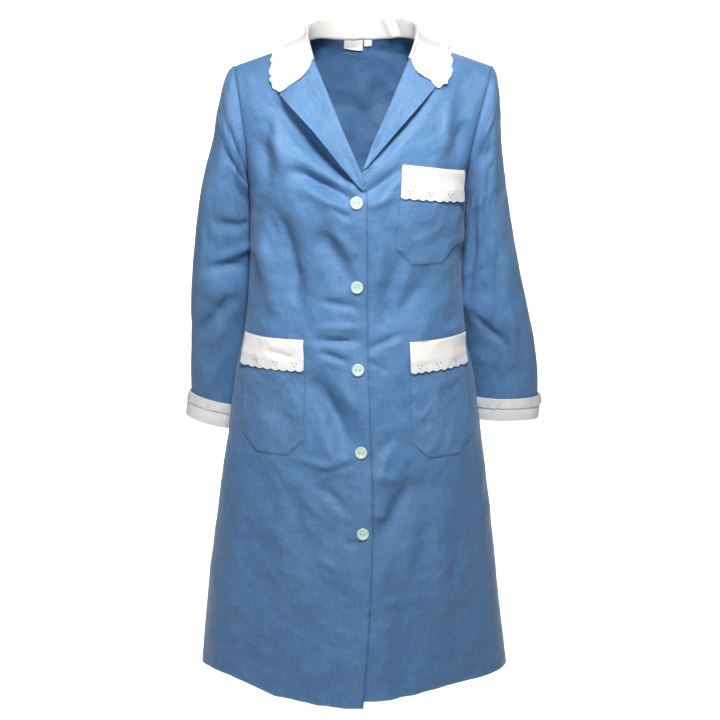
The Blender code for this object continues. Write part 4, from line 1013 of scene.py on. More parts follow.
def front(name, side, material):
    across, up = frontGrid(side)
    points = figure(across, up)
    lift = lappedLift(points[..., 0], points[..., 2], side)
    toSide = rowDistance(points, -1)
    uv = gridUv(points)
    fromHem = uv[..., 1] / mm
    fromEdge = rowDistance(points, 0)
    lift = lift + seamDip(toSide) * (up < 1.995)
    lift = lift + hemPucker(fromHem, uv[..., 0] / mm, 5 + side)
    lift = lift + seamDip(np.abs(2 - up) * frontSizes["shoulderScale"])
    lift = lift + foldDepth(points[..., 0], points[..., 2], drapeSizes["underLapel"][side]) * (up > 0.9)
    outer = cloth(across, up, lift)
    inner = cloth(across, up, lift - bodyForm["clothThick"])
    for grid in (outer, inner):
        grid[:, -1, 1] -= bodyForm["seamGap"] / 2
        grid[-1, :, 1] -= bodyForm["seamGap"] / 2
    wear = np.exp(-fromHem / frontSizes["hemWear"])
    strength, reach = frontSizes["sideSeamShade"]
    # painted shade along the lapped front edge and the side seams
    seam = np.exp(-fromEdge / frontSizes["edgeShade"]) * (side < 0)
    seam = seam + strength * np.exp(-((toSide / reach) ** 2))
    piece = shell(name, outer, inner, material, uv=uv, insideShadeMaterial=shadedInnerCloth, wear=wear, seam=seam)
    dress(piece, name)


backSizes = {"sideColumns": 28, "neckColumns": 44}


def necklineUp(across):
    def isOutside(middle):
        here = figure(across, 4 - middle)
        return (here[..., 0] / bodyForm["neckHalf"]) ** 2 + (here[..., 1] / bodyForm["napeY"]) ** 2 > 1

    return 4 - closedOn(np.full(across.shape, 1.2), np.full(across.shape, 2.0), isOutside)


def acrossOnShoulder(side, x):
    return float(closedOn(0.0, 1.0, lambda middle: figure(middle * side, 2.0)[0] * side < x)) * side


def neckColumns(count):
    spread = np.sin(np.linspace(-1, 1, count + 1) * np.pi / 2)
    left = acrossOnShoulder(1, bodyForm["neckHalf"])
    right = acrossOnShoulder(-1, bodyForm["neckHalf"])
    return (left + right) / 2 + (left - right) / 2 * spread


def back():
    neck = neckColumns(backSizes["neckColumns"])
    share = np.linspace(0, 1, backSizes["sideColumns"] + 1)[:-1]
    share = np.insert(share, 1, frontSizes["sideColumn"] / backSizes["sideColumns"])
    right = -1 + (neck[0] + 1) * share
    left = 1 - (1 - neck[-1]) * share[::-1]
    across = np.concatenate([right, neck, left])
    top = np.concatenate([np.full(len(right), 2.0), necklineUp(neck), np.full(len(left), 2.0)])
    top[len(right)] = 2.0
    top[len(right) + len(neck) - 1] = 2.0
    lower = np.linspace(4, 3, frontSizes["lowerRows"] + 1)[:-1]
    climb = np.linspace(0, 1, frontSizes["upperRows"] + 1)
    upper = 3 + (top[None, :] - 3) * climb[:, None]
    up = np.concatenate([np.repeat(lower[:, None], len(across), axis=1), upper])
    grid = np.repeat(across[None, :], len(up), axis=0)
    up = np.maximum(up, 2.0 + 1e-9)
    points = figure(grid, up)
    uv = gridUv(points)
    fromHem = uv[..., 1] / mm
    lift = seamDip(rowDistance(points, 0)) + seamDip(rowDistance(points, -1))
    lift = lift + hemPucker(fromHem, uv[..., 0] / mm, 3)
    lift = lift + seamDip((up - 2) * frontSizes["shoulderScale"]) * (top[None, :] == 2.0)
    outer = cloth(grid, up, lift)
    inner = cloth(grid, up, lift - bodyForm["clothThick"])
    for side in (outer, inner):
        side[:, 0, 1] += bodyForm["seamGap"] / 2
        side[:, -1, 1] += bodyForm["seamGap"] / 2
        side[-1, top == 2.0, 1] += bodyForm["seamGap"] / 2
    wear = np.exp(-fromHem / frontSizes["hemWear"])
    toSides = np.minimum(rowDistance(points, 0), rowDistance(points, -1))
    strength, reach = frontSizes["sideSeamShade"]
    # painted shade along the side seams
    seam = strength * np.exp(-((toSides / reach) ** 2))
    piece = shell("back", outer, inner, tunicCloth, uv=uv, insideShadeMaterial=shadedInnerCloth, wear=wear, seam=seam)
    dress(piece, "back")


print("sleeves and cuffs")

sleeveSizes = {
    "turns": 120,
    "ringStep": 0.075,
    "creaseGain": 2.3,
    "length": 560.0,
    "girth": 340.0,
    # outer x, outer z, gap to the body, inner z, centre y, half depth
    "left": (
        (198, -43, 1, -202.6, 0, 55),
        (202, -58, 1.6, -206, 0.5, 58),
        (206, -92, 1.2, -224, 3, 60),
        (210, -138, 1, -246, 8, 61),
        (216, -192, 1, -276, 14, 61),
        (228, -262, 1.8, -316, 20, 59),
        (243, -335, 1.8, -364, 26, 56),
        (259, -400, 3, -412, 33, 52),
        (272, -455, 5, -460, 41, 47),
        (281, -510, 6, -512, 49, 39.5),
        (284, -560, 7, -560, 55, 37.5),
    ),
    "right": (
        (-198, -43, 1, -202.6, 0, 55),
        (-205, -58, 1.6, -206, 0.5, 58),
        (-214, -92, 1.2, -224, 3, 60),
        (-223, -138, 1, -246, 8, 61),
        (-238, -192, 1, -276, 14, 61),
        (-253, -262, 1.8, -316, 22, 58),
        (-263, -335, 1.8, -364, 32, 55),
        (-268.5, -400, 2.5, -409, 45, 49),
        (-272, -455, 4, -464, 57, 44),
        (-276, -510, 7, -524, 67, 37.5),
        (-278, -560, 9.5, -581, 77, 35.5),
    ),
    # side, ring share, turn share, ring width, turn width, height: the largest folds
    "folds": (
        ("right", 0.36, 0.17, 0.06, 0.12, -8.0),
        ("right", 0.58, 0.20, 0.05, 0.13, -8.0),
        ("right", 0.68, 0.30, 0.05, 0.14, 5.0),
        ("right", 0.60, 0.78, 0.06, 0.12, -7.0),
        ("left", 0.42, 0.30, 0.12, 0.05, 5.0),
        ("left", 0.62, 0.20, 0.14, 0.06, -8.0),
        ("left", 0.84, 0.24, 0.06, 0.09, -5.0),
        ("left", 0.58, 0.80, 0.06, 0.12, -7.0),
    ),
    "headPlaces": (0.0, 0.12, 0.3, 0.6),
    # seed and height of the waves, and of the small ones longest wave, shortest wave and count
    "uneven": (40, 1.2),
    "wrinkles": (50, 2.8),
    "smallWrinkles": (53, 1.6, 70.0, 26.0, 14),
    "wrinkleSpan": 80.0,
    # the inner side hangs smooth against the body: share and reach in turns
    "innerCalm": (0.85, 0.09),
    "endCalm": (4.0, 6.0),
    # the sleeve head stands a little full over its seam: height, distance from the seam, reach
    "headFull": (1.6, 16.0, 11.0),
    "seamShade": (0.9, 2.2),
    # creases: start turn, start down, end turn, end down, half width, height, bow
    # their turns count in millimetres round the sleeve
    "rightCreases": (
        (40, 60, 110, 150, 9, -3, 3),
        (30, 130, 105, 200, 8, -3.2, -3),
        (24, 250, 110, 300, 8, -3.4, 4),
        (20, 290, 100, 345, 7, 2.6, 3),
        (30, 330, 120, 360, 7, -3.2, -3),
        (60, 380, 150, 470, 9, -2.6, 4),
        (96, 180, 140, 320, 10, 2.2, 5),
        (200, 250, 300, 320, 9, -3, 4),
        (210, 330, 310, 350, 8, -3, 0),
        (190, 90, 240, 210, 11, -2.2, 4),
        (70, 470, 110, 552, 7, 2, 0),
    ),
    "leftCreases": (
        (50, 80, 100, 190, 9, -3, 4),
        (86, 170, 62, 340, 9, 2.8, 5),
        (56, 240, 36, 400, 9, -3.4, 4),
        (100, 300, 80, 430, 9, -2.8, -4),
        (40, 400, 100, 470, 7, -2.8, 3),
        (112, 400, 100, 520, 8, 2.2, 3),
        (70, 490, 78, 555, 5, -2.6, 0),
        (200, 260, 300, 330, 9, -3, 4),
        (212, 340, 300, 370, 8, -3, 0),
        (200, 90, 250, 220, 11, -2.2, 4),
    ),
}
cuffSizes = {
    "overlap": 7.0,
    "length": {"left": 38.0, "right": 42.0},
    "ease": 3.0,
    "drift": 0.17,
    "rings": 20,
    "thick": 0.9,
    "lift": 1.0,
    "laceDepth": 15.5,
    "laceThick": 0.5,
    "scallops": 28,
    "scallopDepth": 2.4,
    "scallopSteps": 12,
    "laceRows": 10,
    "laceStart": 0.4,
    "flare": (0.25, 17, 0.5),  # height of the waves, their count, height at the edge
    "clusters": 12,  # of eyelets round the cuff
    # seed, height, longest wave, shortest wave
    "wander": (60, 1.3, 160.0, 60.0),
    "soft": (70, 0.8, 120.0, 40.0),
    "softRun": 2.0,
    "softShare": 0.5,
    "belly": 1.2,
    "wearReach": 2.0,
}


def armhole(side, turn):
    up = np.where(turn <= 0.5, 1 + 2 * turn, 2 + 2 * (turn - 0.5))
    level = np.full(turn.shape, float(side))
    edge = cloth(level, up)
    normal = figureNormal(level, up)
    tangent = unit(np.roll(edge, -1, axis=0) - np.roll(edge, 1, axis=0))
    away = unit(np.cross(tangent, normal)) * side
    return edge + away * bodyForm["seamGap"], normal


def bodySideX(side, z, y):
    sections = bodyForm["sections"]
    level = min(z, bodyForm["armpitZ"])
    depth = float(smooth(sections, 4 if y > 0 else 3, level))
    squareness = float(smooth(sections, 5, level))
    half = float(smooth(sections, 2, level))
    reach = (1 - min(abs(y) / depth, 0.99) ** squareness) ** (1 / squareness)
    return float(smooth(sections, 1, level)) + side * half * reach


def sleeveEnds(side, place):
    table = sleeveSizes["left" if side > 0 else "right"]
    rows = [(float(i),) + row for i, row in enumerate(table)]
    outerX, outerZ, gap, innerZ, centreY, halfDepth = (
        float(smooth(rows, column, place)) for column in range(1, 7)
    )
    clear = []  # the inner side keeps its gap to the body all along its curve
    for share in np.linspace(-0.9, 0.9, 19):
        bulge = (1 - math.sqrt(1 - share * share)) / 2
        bodyX = side * bodySideX(side, innerZ, centreY + share * halfDepth) + gap
        clear.append((bodyX - side * outerX * bulge) / (1 - bulge))
    return outerX, outerZ, side * max(clear), innerZ, centreY, halfDepth


def oval(ends, turn, ease=0.0, down=0.0):
    outerX, outerZ, innerX, innerZ, centreY, halfDepth = ends
    angle = 2 * np.pi * np.asarray(turn, float)
    arm = np.array([(outerX - innerX) / 2, 0.0, (outerZ - innerZ) / 2])
    armLength = np.linalg.norm(arm)
    direction = arm / armLength
    middle = np.array([(outerX + innerX) / 2, centreY, (outerZ + innerZ) / 2])
    along = np.array([-direction[2], 0.0, direction[0]])
    along = along * -np.sign(direction[0]) + np.array([0.0, cuffSizes["drift"], 0.0])
    ease = np.broadcast_to(ease, angle.shape)
    down = np.broadcast_to(down, angle.shape)
    ring = middle - (np.cos(angle) * (armLength + ease))[:, None] * direction
    ring = ring + (np.sin(angle) * (-halfDepth - ease))[:, None] * np.array([0.0, 1.0, 0.0])
    return ring + down[:, None] * along


def sleeve(name, side):
    sizes = sleeveSizes
    turn = np.arange(sizes["turns"]) / sizes["turns"]
    start, startNormal = armhole(side, turn)
    last = len(sizes[name]) - 1
    steps = np.arange(1.0, last + 1, sizes["ringStep"])
    places = np.concatenate([sizes["headPlaces"], steps, [last + 1.0]])
    first = oval(sleeveEnds(side, 0.0), turn)
    rings = []
    for place in places:
        if place < 1:
            rings.append(start + (first - start) * place)
        else:
            rings.append(oval(sleeveEnds(side, place - 1), turn))
    rings = np.array(rings)
    normals = -side * gridNormals(rings, around=True)
    normals[0] = startNormal
    normals[1] = unit(normals[0] + normals[2])
    share = (places / (last + 1))[:, None]
    height = np.zeros(rings.shape[:2])
    for foldSide, ring, around, ringWidth, turnWidth, depth in sizes["folds"]:
        if foldSide == name:
            offRing = ((share - ring) / ringWidth) ** 2
            offTurn = ((turn - around) / turnWidth) ** 2
            height += depth * np.exp(-offRing - offTurn)
    round0 = np.broadcast_to(turn[None, :] * sizes["girth"], height.shape)
    down = np.broadcast_to(share * sizes["length"], height.shape)
    for wrap in (-sizes["girth"], 0.0, sizes["girth"]):
        height += foldDepth(round0 + wrap, down, sizes[f"{name}Creases"]) * sizes["creaseGain"]
    half = np.where(turn < 0.5, 1, -1)
    sideways = ((1 - np.cos(turn * 2 * np.pi)) * sizes["wrinkleSpan"] * half)[None, :] + 0 * down
    height += unevenness(sideways, down, *reseeded(sizes["uneven"], side))
    height += wrinkles(sideways, down, *reseeded(sizes["wrinkles"], side))
    height += wrinkles(sideways, down, *reseeded(sizes["smallWrinkles"], side))
    calm, reach = sizes["innerCalm"]
    height *= 1 - calm * np.exp(-(((turn - 0.5) / reach) ** 2))[None, :]
    topCalm, footCalm = sizes["endCalm"]
    height *= np.clip(share * topCalm, 0, 1) * np.clip((1 - share) * footCalm, 0, 1)
    full, below, reach = sizes["headFull"]
    outside = np.clip(np.sin(np.pi * turn), 0, 1)[None, :] ** 2
    height += full * np.exp(-(((down - below) / reach) ** 2)) * outside
    height += seamDip(down)
    outer = rings + normals * height[..., None]
    inner = outer - normals * bodyForm["clothThick"]
    strength, reach = sizes["seamShade"]
    seam = strength * np.exp(-((down / reach) ** 2))
    piece = shell(f"sleeve_{name}", outer, inner, tunicCloth, around=True, insideShadeMaterial=shadedInnerCloth, seam=seam)
    dress(piece, f"sleeve_{name}")


def cuff(name, side):
    sizes = cuffSizes
    ends = sleeveEnds(side, len(sleeveSizes[name]) - 1.0)
    turn = np.arange(sleeveSizes["turns"]) / sleeveSizes["turns"]
    down = np.linspace(-sizes["overlap"], sizes["length"][name] - sizes["overlap"], sizes["rings"])
    around = turn * sleeveSizes["girth"]
    wander = unevenness(around, 0 * turn, *reseeded(sizes["wander"], side)) * np.sin(np.pi * turn) ** 0.5
    rings = []
    for step in down:
        share = (step + sizes["overlap"]) / sizes["length"][name]
        swell = math.sin(math.pi * share)
        soft = unevenness(around, 0 * turn + step * sizes["softRun"], *reseeded(sizes["soft"], side)) * swell
        ease = sizes["ease"] + sizes["belly"] * swell + soft * sizes["softShare"]
        rings.append(oval(ends, turn, ease, step + wander * share))
    rings = np.array(rings)
    normals = -side * gridNormals(rings, around=True)
    edge = np.minimum(down + sizes["overlap"], sizes["length"][name] - sizes["overlap"] - down)[:, None]
    piece = shell(
        f"cuff_{name}", rings, rings - normals * sizes["thick"], trimCloth,
        around=True, wear=np.exp(-edge / sizes["wearReach"]) + 0 * turn,
    )
    dress(piece, f"cuff_{name}")
    count = sizes["scallops"] * sizes["scallopSteps"]
    turn = np.arange(count) / count
    wave = np.abs(np.sin(turn * sizes["scallops"] * np.pi))
    foot = sizes["laceDepth"] - sizes["scallopDepth"] + sizes["scallopDepth"] * wave
    flareHeight, flareWaves, flareOut = sizes["flare"]
    grid = []
    depths = np.linspace(0, 1, sizes["laceRows"])
    for share in depths:
        step = sizes["laceStart"] - sizes["overlap"] + foot * share
        flare = flareHeight * np.sin(turn * 2 * np.pi * flareWaves) * share + flareOut * share
        cuffShare = (step + sizes["overlap"]) / sizes["length"][name]
        belly = sizes["belly"] * np.sin(np.pi * cuffShare)
        grid.append(oval(ends, turn, sizes["ease"] + sizes["lift"] + belly + flare, step))
    grid = np.array(grid)
    outward = -side * gridNormals(grid, around=True)
    uv = gridUv(grid, True)
    uv[..., 0] *= sizes["clusters"] * eyeletLook["pitch"] / uv[..., -1:, 0]
    toEdge = foot * (1 - depths[:, None]) * mm
    lace = shell(
        f"cuff_lace_{name}", grid + outward * sizes["laceThick"], grid, laceCloth,
        around=True, uv=uv, edge=toEdge,
    )
    dress(lace, f"cuff_lace_{name}")


print("lapels and collar")

lapelSizes = {
    "rows": 84,
    "roll": 2.4,
    "rollShare": 0.22,
    "rest": 2.4,
    "gap": 0.15,
    "rim": 0.5,
    "gorgeShare": 0.88,
    "tipStart": 4.0,
    # the last rows ease into the gorge's end, so that its seam is straight: start and span of rise
    "easeIn": (0.86, 0.14),
    "rollTurns": (20, 165, 8),  # degrees and count
    "shares": (0.06, 26),
    "tipShares": (0.92, 0.96, 0.985, 1.0),
    "uneven": (80, 0.5, 90, 40),
    "leastLift": 1.2,
    "wear": (0.6, 2.2),
    "right": {
        "foot": 6.0,
        "lift": 10.5,
        "end": (-107.0, -71.0),
        "edge": ((-215.0, 4.0), (-178.0, -30.0), (-132.0, -67.0), (-79.0, -117.0)),  # height, x
    },
    "left": {
        "foot": 1.5,
        "lift": 6.0,
        "end": (99.0, -62.0),
        "edge": ((-183.0, 3.0), (-166.0, 18.0), (-142.0, 39.0), (-70.0, 103.0)),
    },
}


def lapel(name, side):
    sizes = lapelSizes
    own = sizes[name]
    footZ = own["edge"][0][0]
    gorge = upWhereEdgeIs(frontSizes["gorgeZ"], side)
    low = upWhereEdgeIs(footZ + own["foot"], side, 0.9, gorge)
    rows = np.linspace(low, gorge, sizes["rows"])
    inner = frontEdgeAcross(rows, side)
    start = figure(inner, rows)
    rise = (start[:, 2] - start[0, 2]) / (start[-1, 2] - start[0, 2])
    tipZ = own["edge"][-1][0]
    edgeZ = footZ + sizes["tipStart"] + (tipZ - footZ - sizes["tipStart"]) * rise
    edgeAcross, edgeUp = locate(straight(own["edge"], 1, edgeZ), edgeZ, 2)
    gorgeAcross = inner + (edgeAcross - inner) * sizes["gorgeShare"]
    gorgeUp = rows + (edgeUp - rows) * sizes["gorgeShare"]
    endAcross, endUp = locate(np.array([own["end"][0]]), np.array([own["end"][1]]), 2)
    easeStart, easeSpan = sizes["easeIn"]
    into = softStep((rise - easeStart) / easeSpan)
    gorgeAcross += (endAcross[0] - gorgeAcross[-1]) * into
    gorgeUp += (endUp[0] - gorgeUp[-1]) * into
    lift = lappedLift(start[:, 0], start[:, 2], side)
    base = cloth(inner, rows, lift - bodyForm["clothThick"] / 2)
    normal = figureNormal(inner, rows)
    toward = figure(gorgeAcross, gorgeUp) - start
    width = np.linalg.norm(toward, axis=-1)
    toward = unit(toward)
    opening = unit(-toward + normal * np.sum(toward * normal, axis=-1, keepdims=True))
    roll = np.minimum(sizes["roll"], width * sizes["rollShare"])[:, None]
    columns = [base + opening * sizes["gap"], base + opening * (sizes["gap"] + sizes["rim"])]
    for turn in np.radians(np.linspace(*sizes["rollTurns"])):
        out = sizes["gap"] + sizes["rim"] + roll * math.sin(turn)
        columns.append(base + opening * out + normal * roll * (1 - math.cos(turn)))
    rest = 2 * roll[:, 0] - bodyForm["clothThick"] / 2
    firstShare, shareCount = sizes["shares"]
    shares = np.linspace(firstShare, sizes["gorgeShare"], shareCount)
    for share in (*shares, *sizes["tipShares"]):
        part = min(1.0, share / sizes["gorgeShare"])
        across = inner + (gorgeAcross - inner) * part
        up = rows + (gorgeUp - rows) * part
        if share > sizes["gorgeShare"]:
            tip = (share - sizes["gorgeShare"]) / (1 - sizes["gorgeShare"])
            across = gorgeAcross + (edgeAcross - gorgeAcross) * tip
            up = gorgeUp + (edgeUp - gorgeUp) * tip
        here = figure(across, up)
        over = lappedLift(here[:, 0], here[:, 2], side)
        settle = rest + (sizes["rest"] - rest) * min(1.0, share * 2)
        lifted = settle + own["lift"] * share**3 * np.sin(np.pi * np.clip(rise, 0.03, 1)) ** 0.8
        soft = unevenness(here[:, 0], here[:, 2], *reseeded(sizes["uneven"], side))
        lifted = lifted + soft * math.sin(math.pi * share)
        columns.append(cloth(across, up, over + np.maximum(lifted, sizes["leastLift"])))
    middle = np.stack(columns, axis=1)
    outer, under = bothSides(middle, bodyForm["clothThick"])
    fromEdge = rowDistance(middle, -1)
    strength, reach = sizes["wear"]
    piece = shell(f"lapel_{name}", outer, under, tunicCloth, wear=strength * np.exp(-fromEdge / reach))
    dress(piece, f"lapel_{name}")


collarSizes = {
    "frontStations": 40,
    "neckColumns": 72,
    "thick": 1.1,
    "gap": 0.15,
    "rim": 0.5,
    "roll": 2.6,
    "rest": 3.0,
    "seamGap": 0.9,
    "ridge": (3.2, 1.95, 0.24),
    "cornerRound": 0.10,
    "frontBulge": 9.0,
    "frontLift": 2.9,
    "frontReach": 0.22,
    # the front ends bulge away from these stations, at this share of the collar's width
    "bulgeEnds": ((0, 6), (-1, -7)),
    "bulgeAim": 0.6,
    "cornerShare": 0.16,
    "gapShare": 0.7,
    # the turn behind the seam: out, share of the stand, less than it, least; out and least in rolls
    "turnKnots": (
        (0.85, 0, 0, 0.55),
        (1, 0.5, 0, 1),
        (0.75, 1, 1.2, 1.6),
        (0, 1, 0, 2),
        (-0.9, 1, 0.8, 1.8),
    ),
    "fallShares": (0.12, 0.3, 0.5, 0.7, 0.86, 1.0),
    "refine": 4,
    # standing creases in the band behind the neck, by millimetres along it and percent of its width
    "standCreases": (
        (238, 2, 246, 52, 5, -2.6, 0),
        (252, 4, 262, 50, 4, 1.8, 0),
        (420, 2, 404, 52, 5, -2.4, 0),
        (436, 6, 424, 50, 4, 1.6, 0),
        (330, 4, 334, 40, 7, -1.2, 0),
    ),
    "uneven": (91, 0.9, 70, 26),
    "unevenSpan": 60,
    "wearReach": 2.0,
    # share of the way from the gorge to the shoulder seam, x, height
    "right": ((0.0, -107.0, -71.0), (0.35, -118.0, -54.0), (0.7, -117.0, -33.0), (1.0, -112.0, -11.0)),
    "left": ((0.0, 99.0, -62.0), (0.35, 113.0, -50.0), (0.7, 116.0, -33.0), (1.0, 113.0, -13.0)),
    # share of the way from the shoulder seam to the nape, width lying on the back
    "backWidth": ((0.0, 34.0), (0.4, 30.0), (0.75, 24.0), (1.0, 21.0)),
    "stand": ((0.0, 5.5), (0.3, 9.0), (0.45, 15.0), (0.7, 25.0), (1.0, 29.0)),
    "laceWidth": 15.0,
    "laceWaves": 30,
    "laceRipple": 1.9,
    "laceThick": 0.45,
    "laceScallops": 52,
    "laceScallopDepth": 2.2,
    "laceInset": 2.0,
    "laceSteps": 14,
    "laceRows": 14,
    "laceStart": 0.4,
    "laceSwell": 0.9,
    "laceDrop": 1.4,
    "laceFullness": 1.35,
    "laceMixing": 0.25,
    "laceWobble": (4, 1.4, 60),  # seed, turn in radians, count
    "laceEnds": (0.25, 16.0),
    "laceSmallWave": (0.5, 2.3),
}


def unitSteps(across, up):
    step = 0.002
    byAcross = np.linalg.norm(figure(across + step, up) - figure(across, up), axis=-1)
    byUp = np.linalg.norm(figure(across, up + step) - figure(across, up), axis=-1)
    return byAcross / step, byUp / step


def collarHalf(side):
    sizes = collarSizes
    name = "left" if side > 0 else "right"
    gorge = upWhereEdgeIs(frontSizes["gorgeZ"], side)
    acrossGorge = frontEdgeAcross(np.array([gorge]), side)
    _, byUp = unitSteps(acrossGorge, np.array([gorge]))
    count = sizes["frontStations"]
    rise = np.linspace(gorge + sizes["seamGap"] / byUp[0], 2.0, count + 1)
    seamAcross = frontEdgeAcross(rise, side)
    neck = neckColumns(sizes["neckColumns"])
    seamAcross[-1] = neck[-1] if side > 0 else neck[0]
    share = np.linspace(0, 1, count + 1)
    edgeX = smooth(sizes[name], 1, share)
    edgeZ = smooth(sizes[name], 2, share)
    edgeX[0] += side * sizes["seamGap"] * sizes["gapShare"]
    edgeZ[0] += sizes["seamGap"] * sizes["gapShare"]
    edgeAcross, edgeUp = locate(edgeX[:-1], edgeZ[:-1], 2)
    edgeAcross = np.append(edgeAcross, acrossOnShoulder(side, abs(edgeX[-1])))
    edgeUp = np.append(edgeUp, 2.0)
    # the collar's front corner is rounded off
    short = 1 - sizes["cornerRound"] * np.clip(1 - share / sizes["cornerShare"], 0, 1) ** 2
    edgeAcross = seamAcross + (edgeAcross - seamAcross) * short
    edgeUp = rise + (edgeUp - rise) * short
    neck = neck[: len(neck) // 2 + 1] if side < 0 else neck[len(neck) // 2 :][::-1]
    backUp = necklineUp(neck[1:])
    way = np.arange(1, len(neck)) / (len(neck) - 1)
    width = smooth(sizes["backWidth"], 1, way)
    lean = np.pi / 2 * (1 - way)
    byAcross, byUp = unitSteps(neck[1:], backUp)
    backAcross = neck[1:] + side * width * np.sin(lean) / byAcross
    backEdgeUp = backUp + width * np.cos(lean) / byUp
    seam = np.concatenate([seamAcross, neck[1:]]), np.concatenate([rise, backUp])
    edge = np.concatenate([edgeAcross, backAcross]), np.concatenate([edgeUp, backEdgeUp])
    station = np.concatenate([share * 5 / 9, 5 / 9 + way * 4 / 9])
    return seam + edge + (smooth(sizes["stand"], 1, station),)


def collarStations():
    right = collarHalf(-1)
    left = collarHalf(1)
    return [np.concatenate([r, l[:-1][::-1]]) for r, l in zip(right, left)]


def lapAt(across, up):
    here = figure(across, up)
    onRight = (up <= 2) & (across < 0)
    return np.where(onRight, lappedLift(here[..., 0], here[..., 2], -1), 0.0)


def bulged(stations, share):
    # the collar's front ends are round, so they lie a little over the lapels
    sizes = collarSizes
    seamAcross, seamUp, edgeAcross, edgeUp, _ = stations
    across = seamAcross + (edgeAcross - seamAcross) * share
    up = seamUp + (edgeUp - seamUp) * share
    count = len(seamAcross)
    place = np.arange(count) / (2 * sizes["frontStations"] + 1)
    reach = sizes["frontReach"]
    front = np.clip(1 - np.minimum(place, place[-1] - place) / reach, 0, 1) ** 2
    front = front * math.sin(math.pi * (share * 0.93 + 0.02)) ** 0.75
    aimAcross = seamAcross + (edgeAcross - seamAcross) * sizes["bulgeAim"]
    aimUp = seamUp + (edgeUp - seamUp) * sizes["bulgeAim"]
    for end, inward in sizes["bulgeEnds"]:
        here = figure(aimAcross[end], aimUp[end])
        there = figure(aimAcross[inward], aimUp[inward])
        length = np.linalg.norm(here - there)
        byAcross = aimAcross[end] - aimAcross[inward]
        byUp = aimUp[end] - aimUp[inward]
        mine = np.where((np.arange(count) < count / 2) == (end == 0), front, 0.0)
        across = across + mine * sizes["frontBulge"] * byAcross / length
        up = up + mine * sizes["frontBulge"] * byUp / length
    return across, up, front


def collarSurface(stations):
    sizes = collarSizes
    seamAcross, seamUp, edgeAcross, edgeUp, stand = stations
    base = cloth(seamAcross, seamUp, lapAt(seamAcross, seamUp) - bodyForm["clothThick"] / 2)
    normal = figureNormal(seamAcross, seamUp)
    near = figure(seamAcross + (edgeAcross - seamAcross) * 0.1, seamUp + (edgeUp - seamUp) * 0.1)
    outward = near - figure(seamAcross, seamUp)
    outward -= normal * np.sum(outward * normal, axis=-1, keepdims=True)
    opening = -unit(outward)
    upright = unit(normal * 0.5 + np.array([0.0, 0.0, 1.2]))
    tall = np.clip((stand - 6) / 12, 0, 1)[:, None]
    rising = unit(normal * (1 - tall) + upright * tall)
    roll = sizes["roll"]
    stand = stand[:, None]
    bend = base + opening * (sizes["gap"] + sizes["rim"])
    knots = [base + opening * sizes["gap"], bend]
    for out, standShare, less, least in sizes["turnKnots"]:
        risen = np.maximum(stand * standShare - less, roll * least)
        knots.append(bend + opening * roll * out + rising * risen)
    top = knots[-1]
    height, place, spread = sizes["ridge"]
    for share in sizes["fallShares"]:
        across, up, front = bulged(stations, share)
        ridge = height * np.exp(-(((up - place) / spread) ** 2)) + sizes["frontLift"] * front
        rest = cloth(across, up, lapAt(across, up) + sizes["rest"] + ridge)
        fall = top + (rest - top) * min(1.0, share * 1.7)
        weight = min(1.0, share * 2.4) ** 0.8
        knots.append(fall * (1 - weight) + rest * weight)
    return np.stack(knots, axis=1)


def refined(grid, times):
    # a smooth curve through each row of points, several steps between neighbours
    count = grid.shape[1]
    rows = np.arange(count, dtype=float)
    at = np.linspace(0, count - 1, (count - 1) * times + 1)
    slopes = np.gradient(grid, axis=1)
    i = np.clip(at.astype(int), 0, count - 2)
    t = (at - rows[i])[None, :, None]
    a, b = grid[:, i], grid[:, i + 1]
    return (
        a * (2 * t**3 - 3 * t**2 + 1) + slopes[:, i] * (t**3 - 2 * t**2 + t)
        + b * (3 * t**2 - 2 * t**3) + slopes[:, i + 1] * (t**3 - t**2)
    )


def collar():
    sizes = collarSizes
    stations = collarStations()
    middle = refined(collarSurface(stations), sizes["refine"])
    along = rowDistance(middle.transpose(1, 0, 2), 0).T
    rows = np.arange(middle.shape[1]) / (middle.shape[1] - 1)
    outer, inner = bothSides(middle, sizes["thick"])
    push = unit(outer - inner)
    soft = unevenness(along, rows[None, :] * sizes["unevenSpan"], *sizes["uneven"])
    soft = soft * np.sin(np.pi * rows)[None, :] ** 0.6
    standing = foldDepth(along, rows[None, :] * 100 + 0 * along, sizes["standCreases"])
    outer = outer + push * (soft + standing)[..., None]
    inner = inner + push * (soft + standing)[..., None]
    fromEdge = rowDistance(middle, -1)
    piece = shell("collar", outer, inner, shadedCollarCloth, wear=np.exp(-fromEdge / sizes["wearReach"]))
    dress(piece, "collar")
    return stations


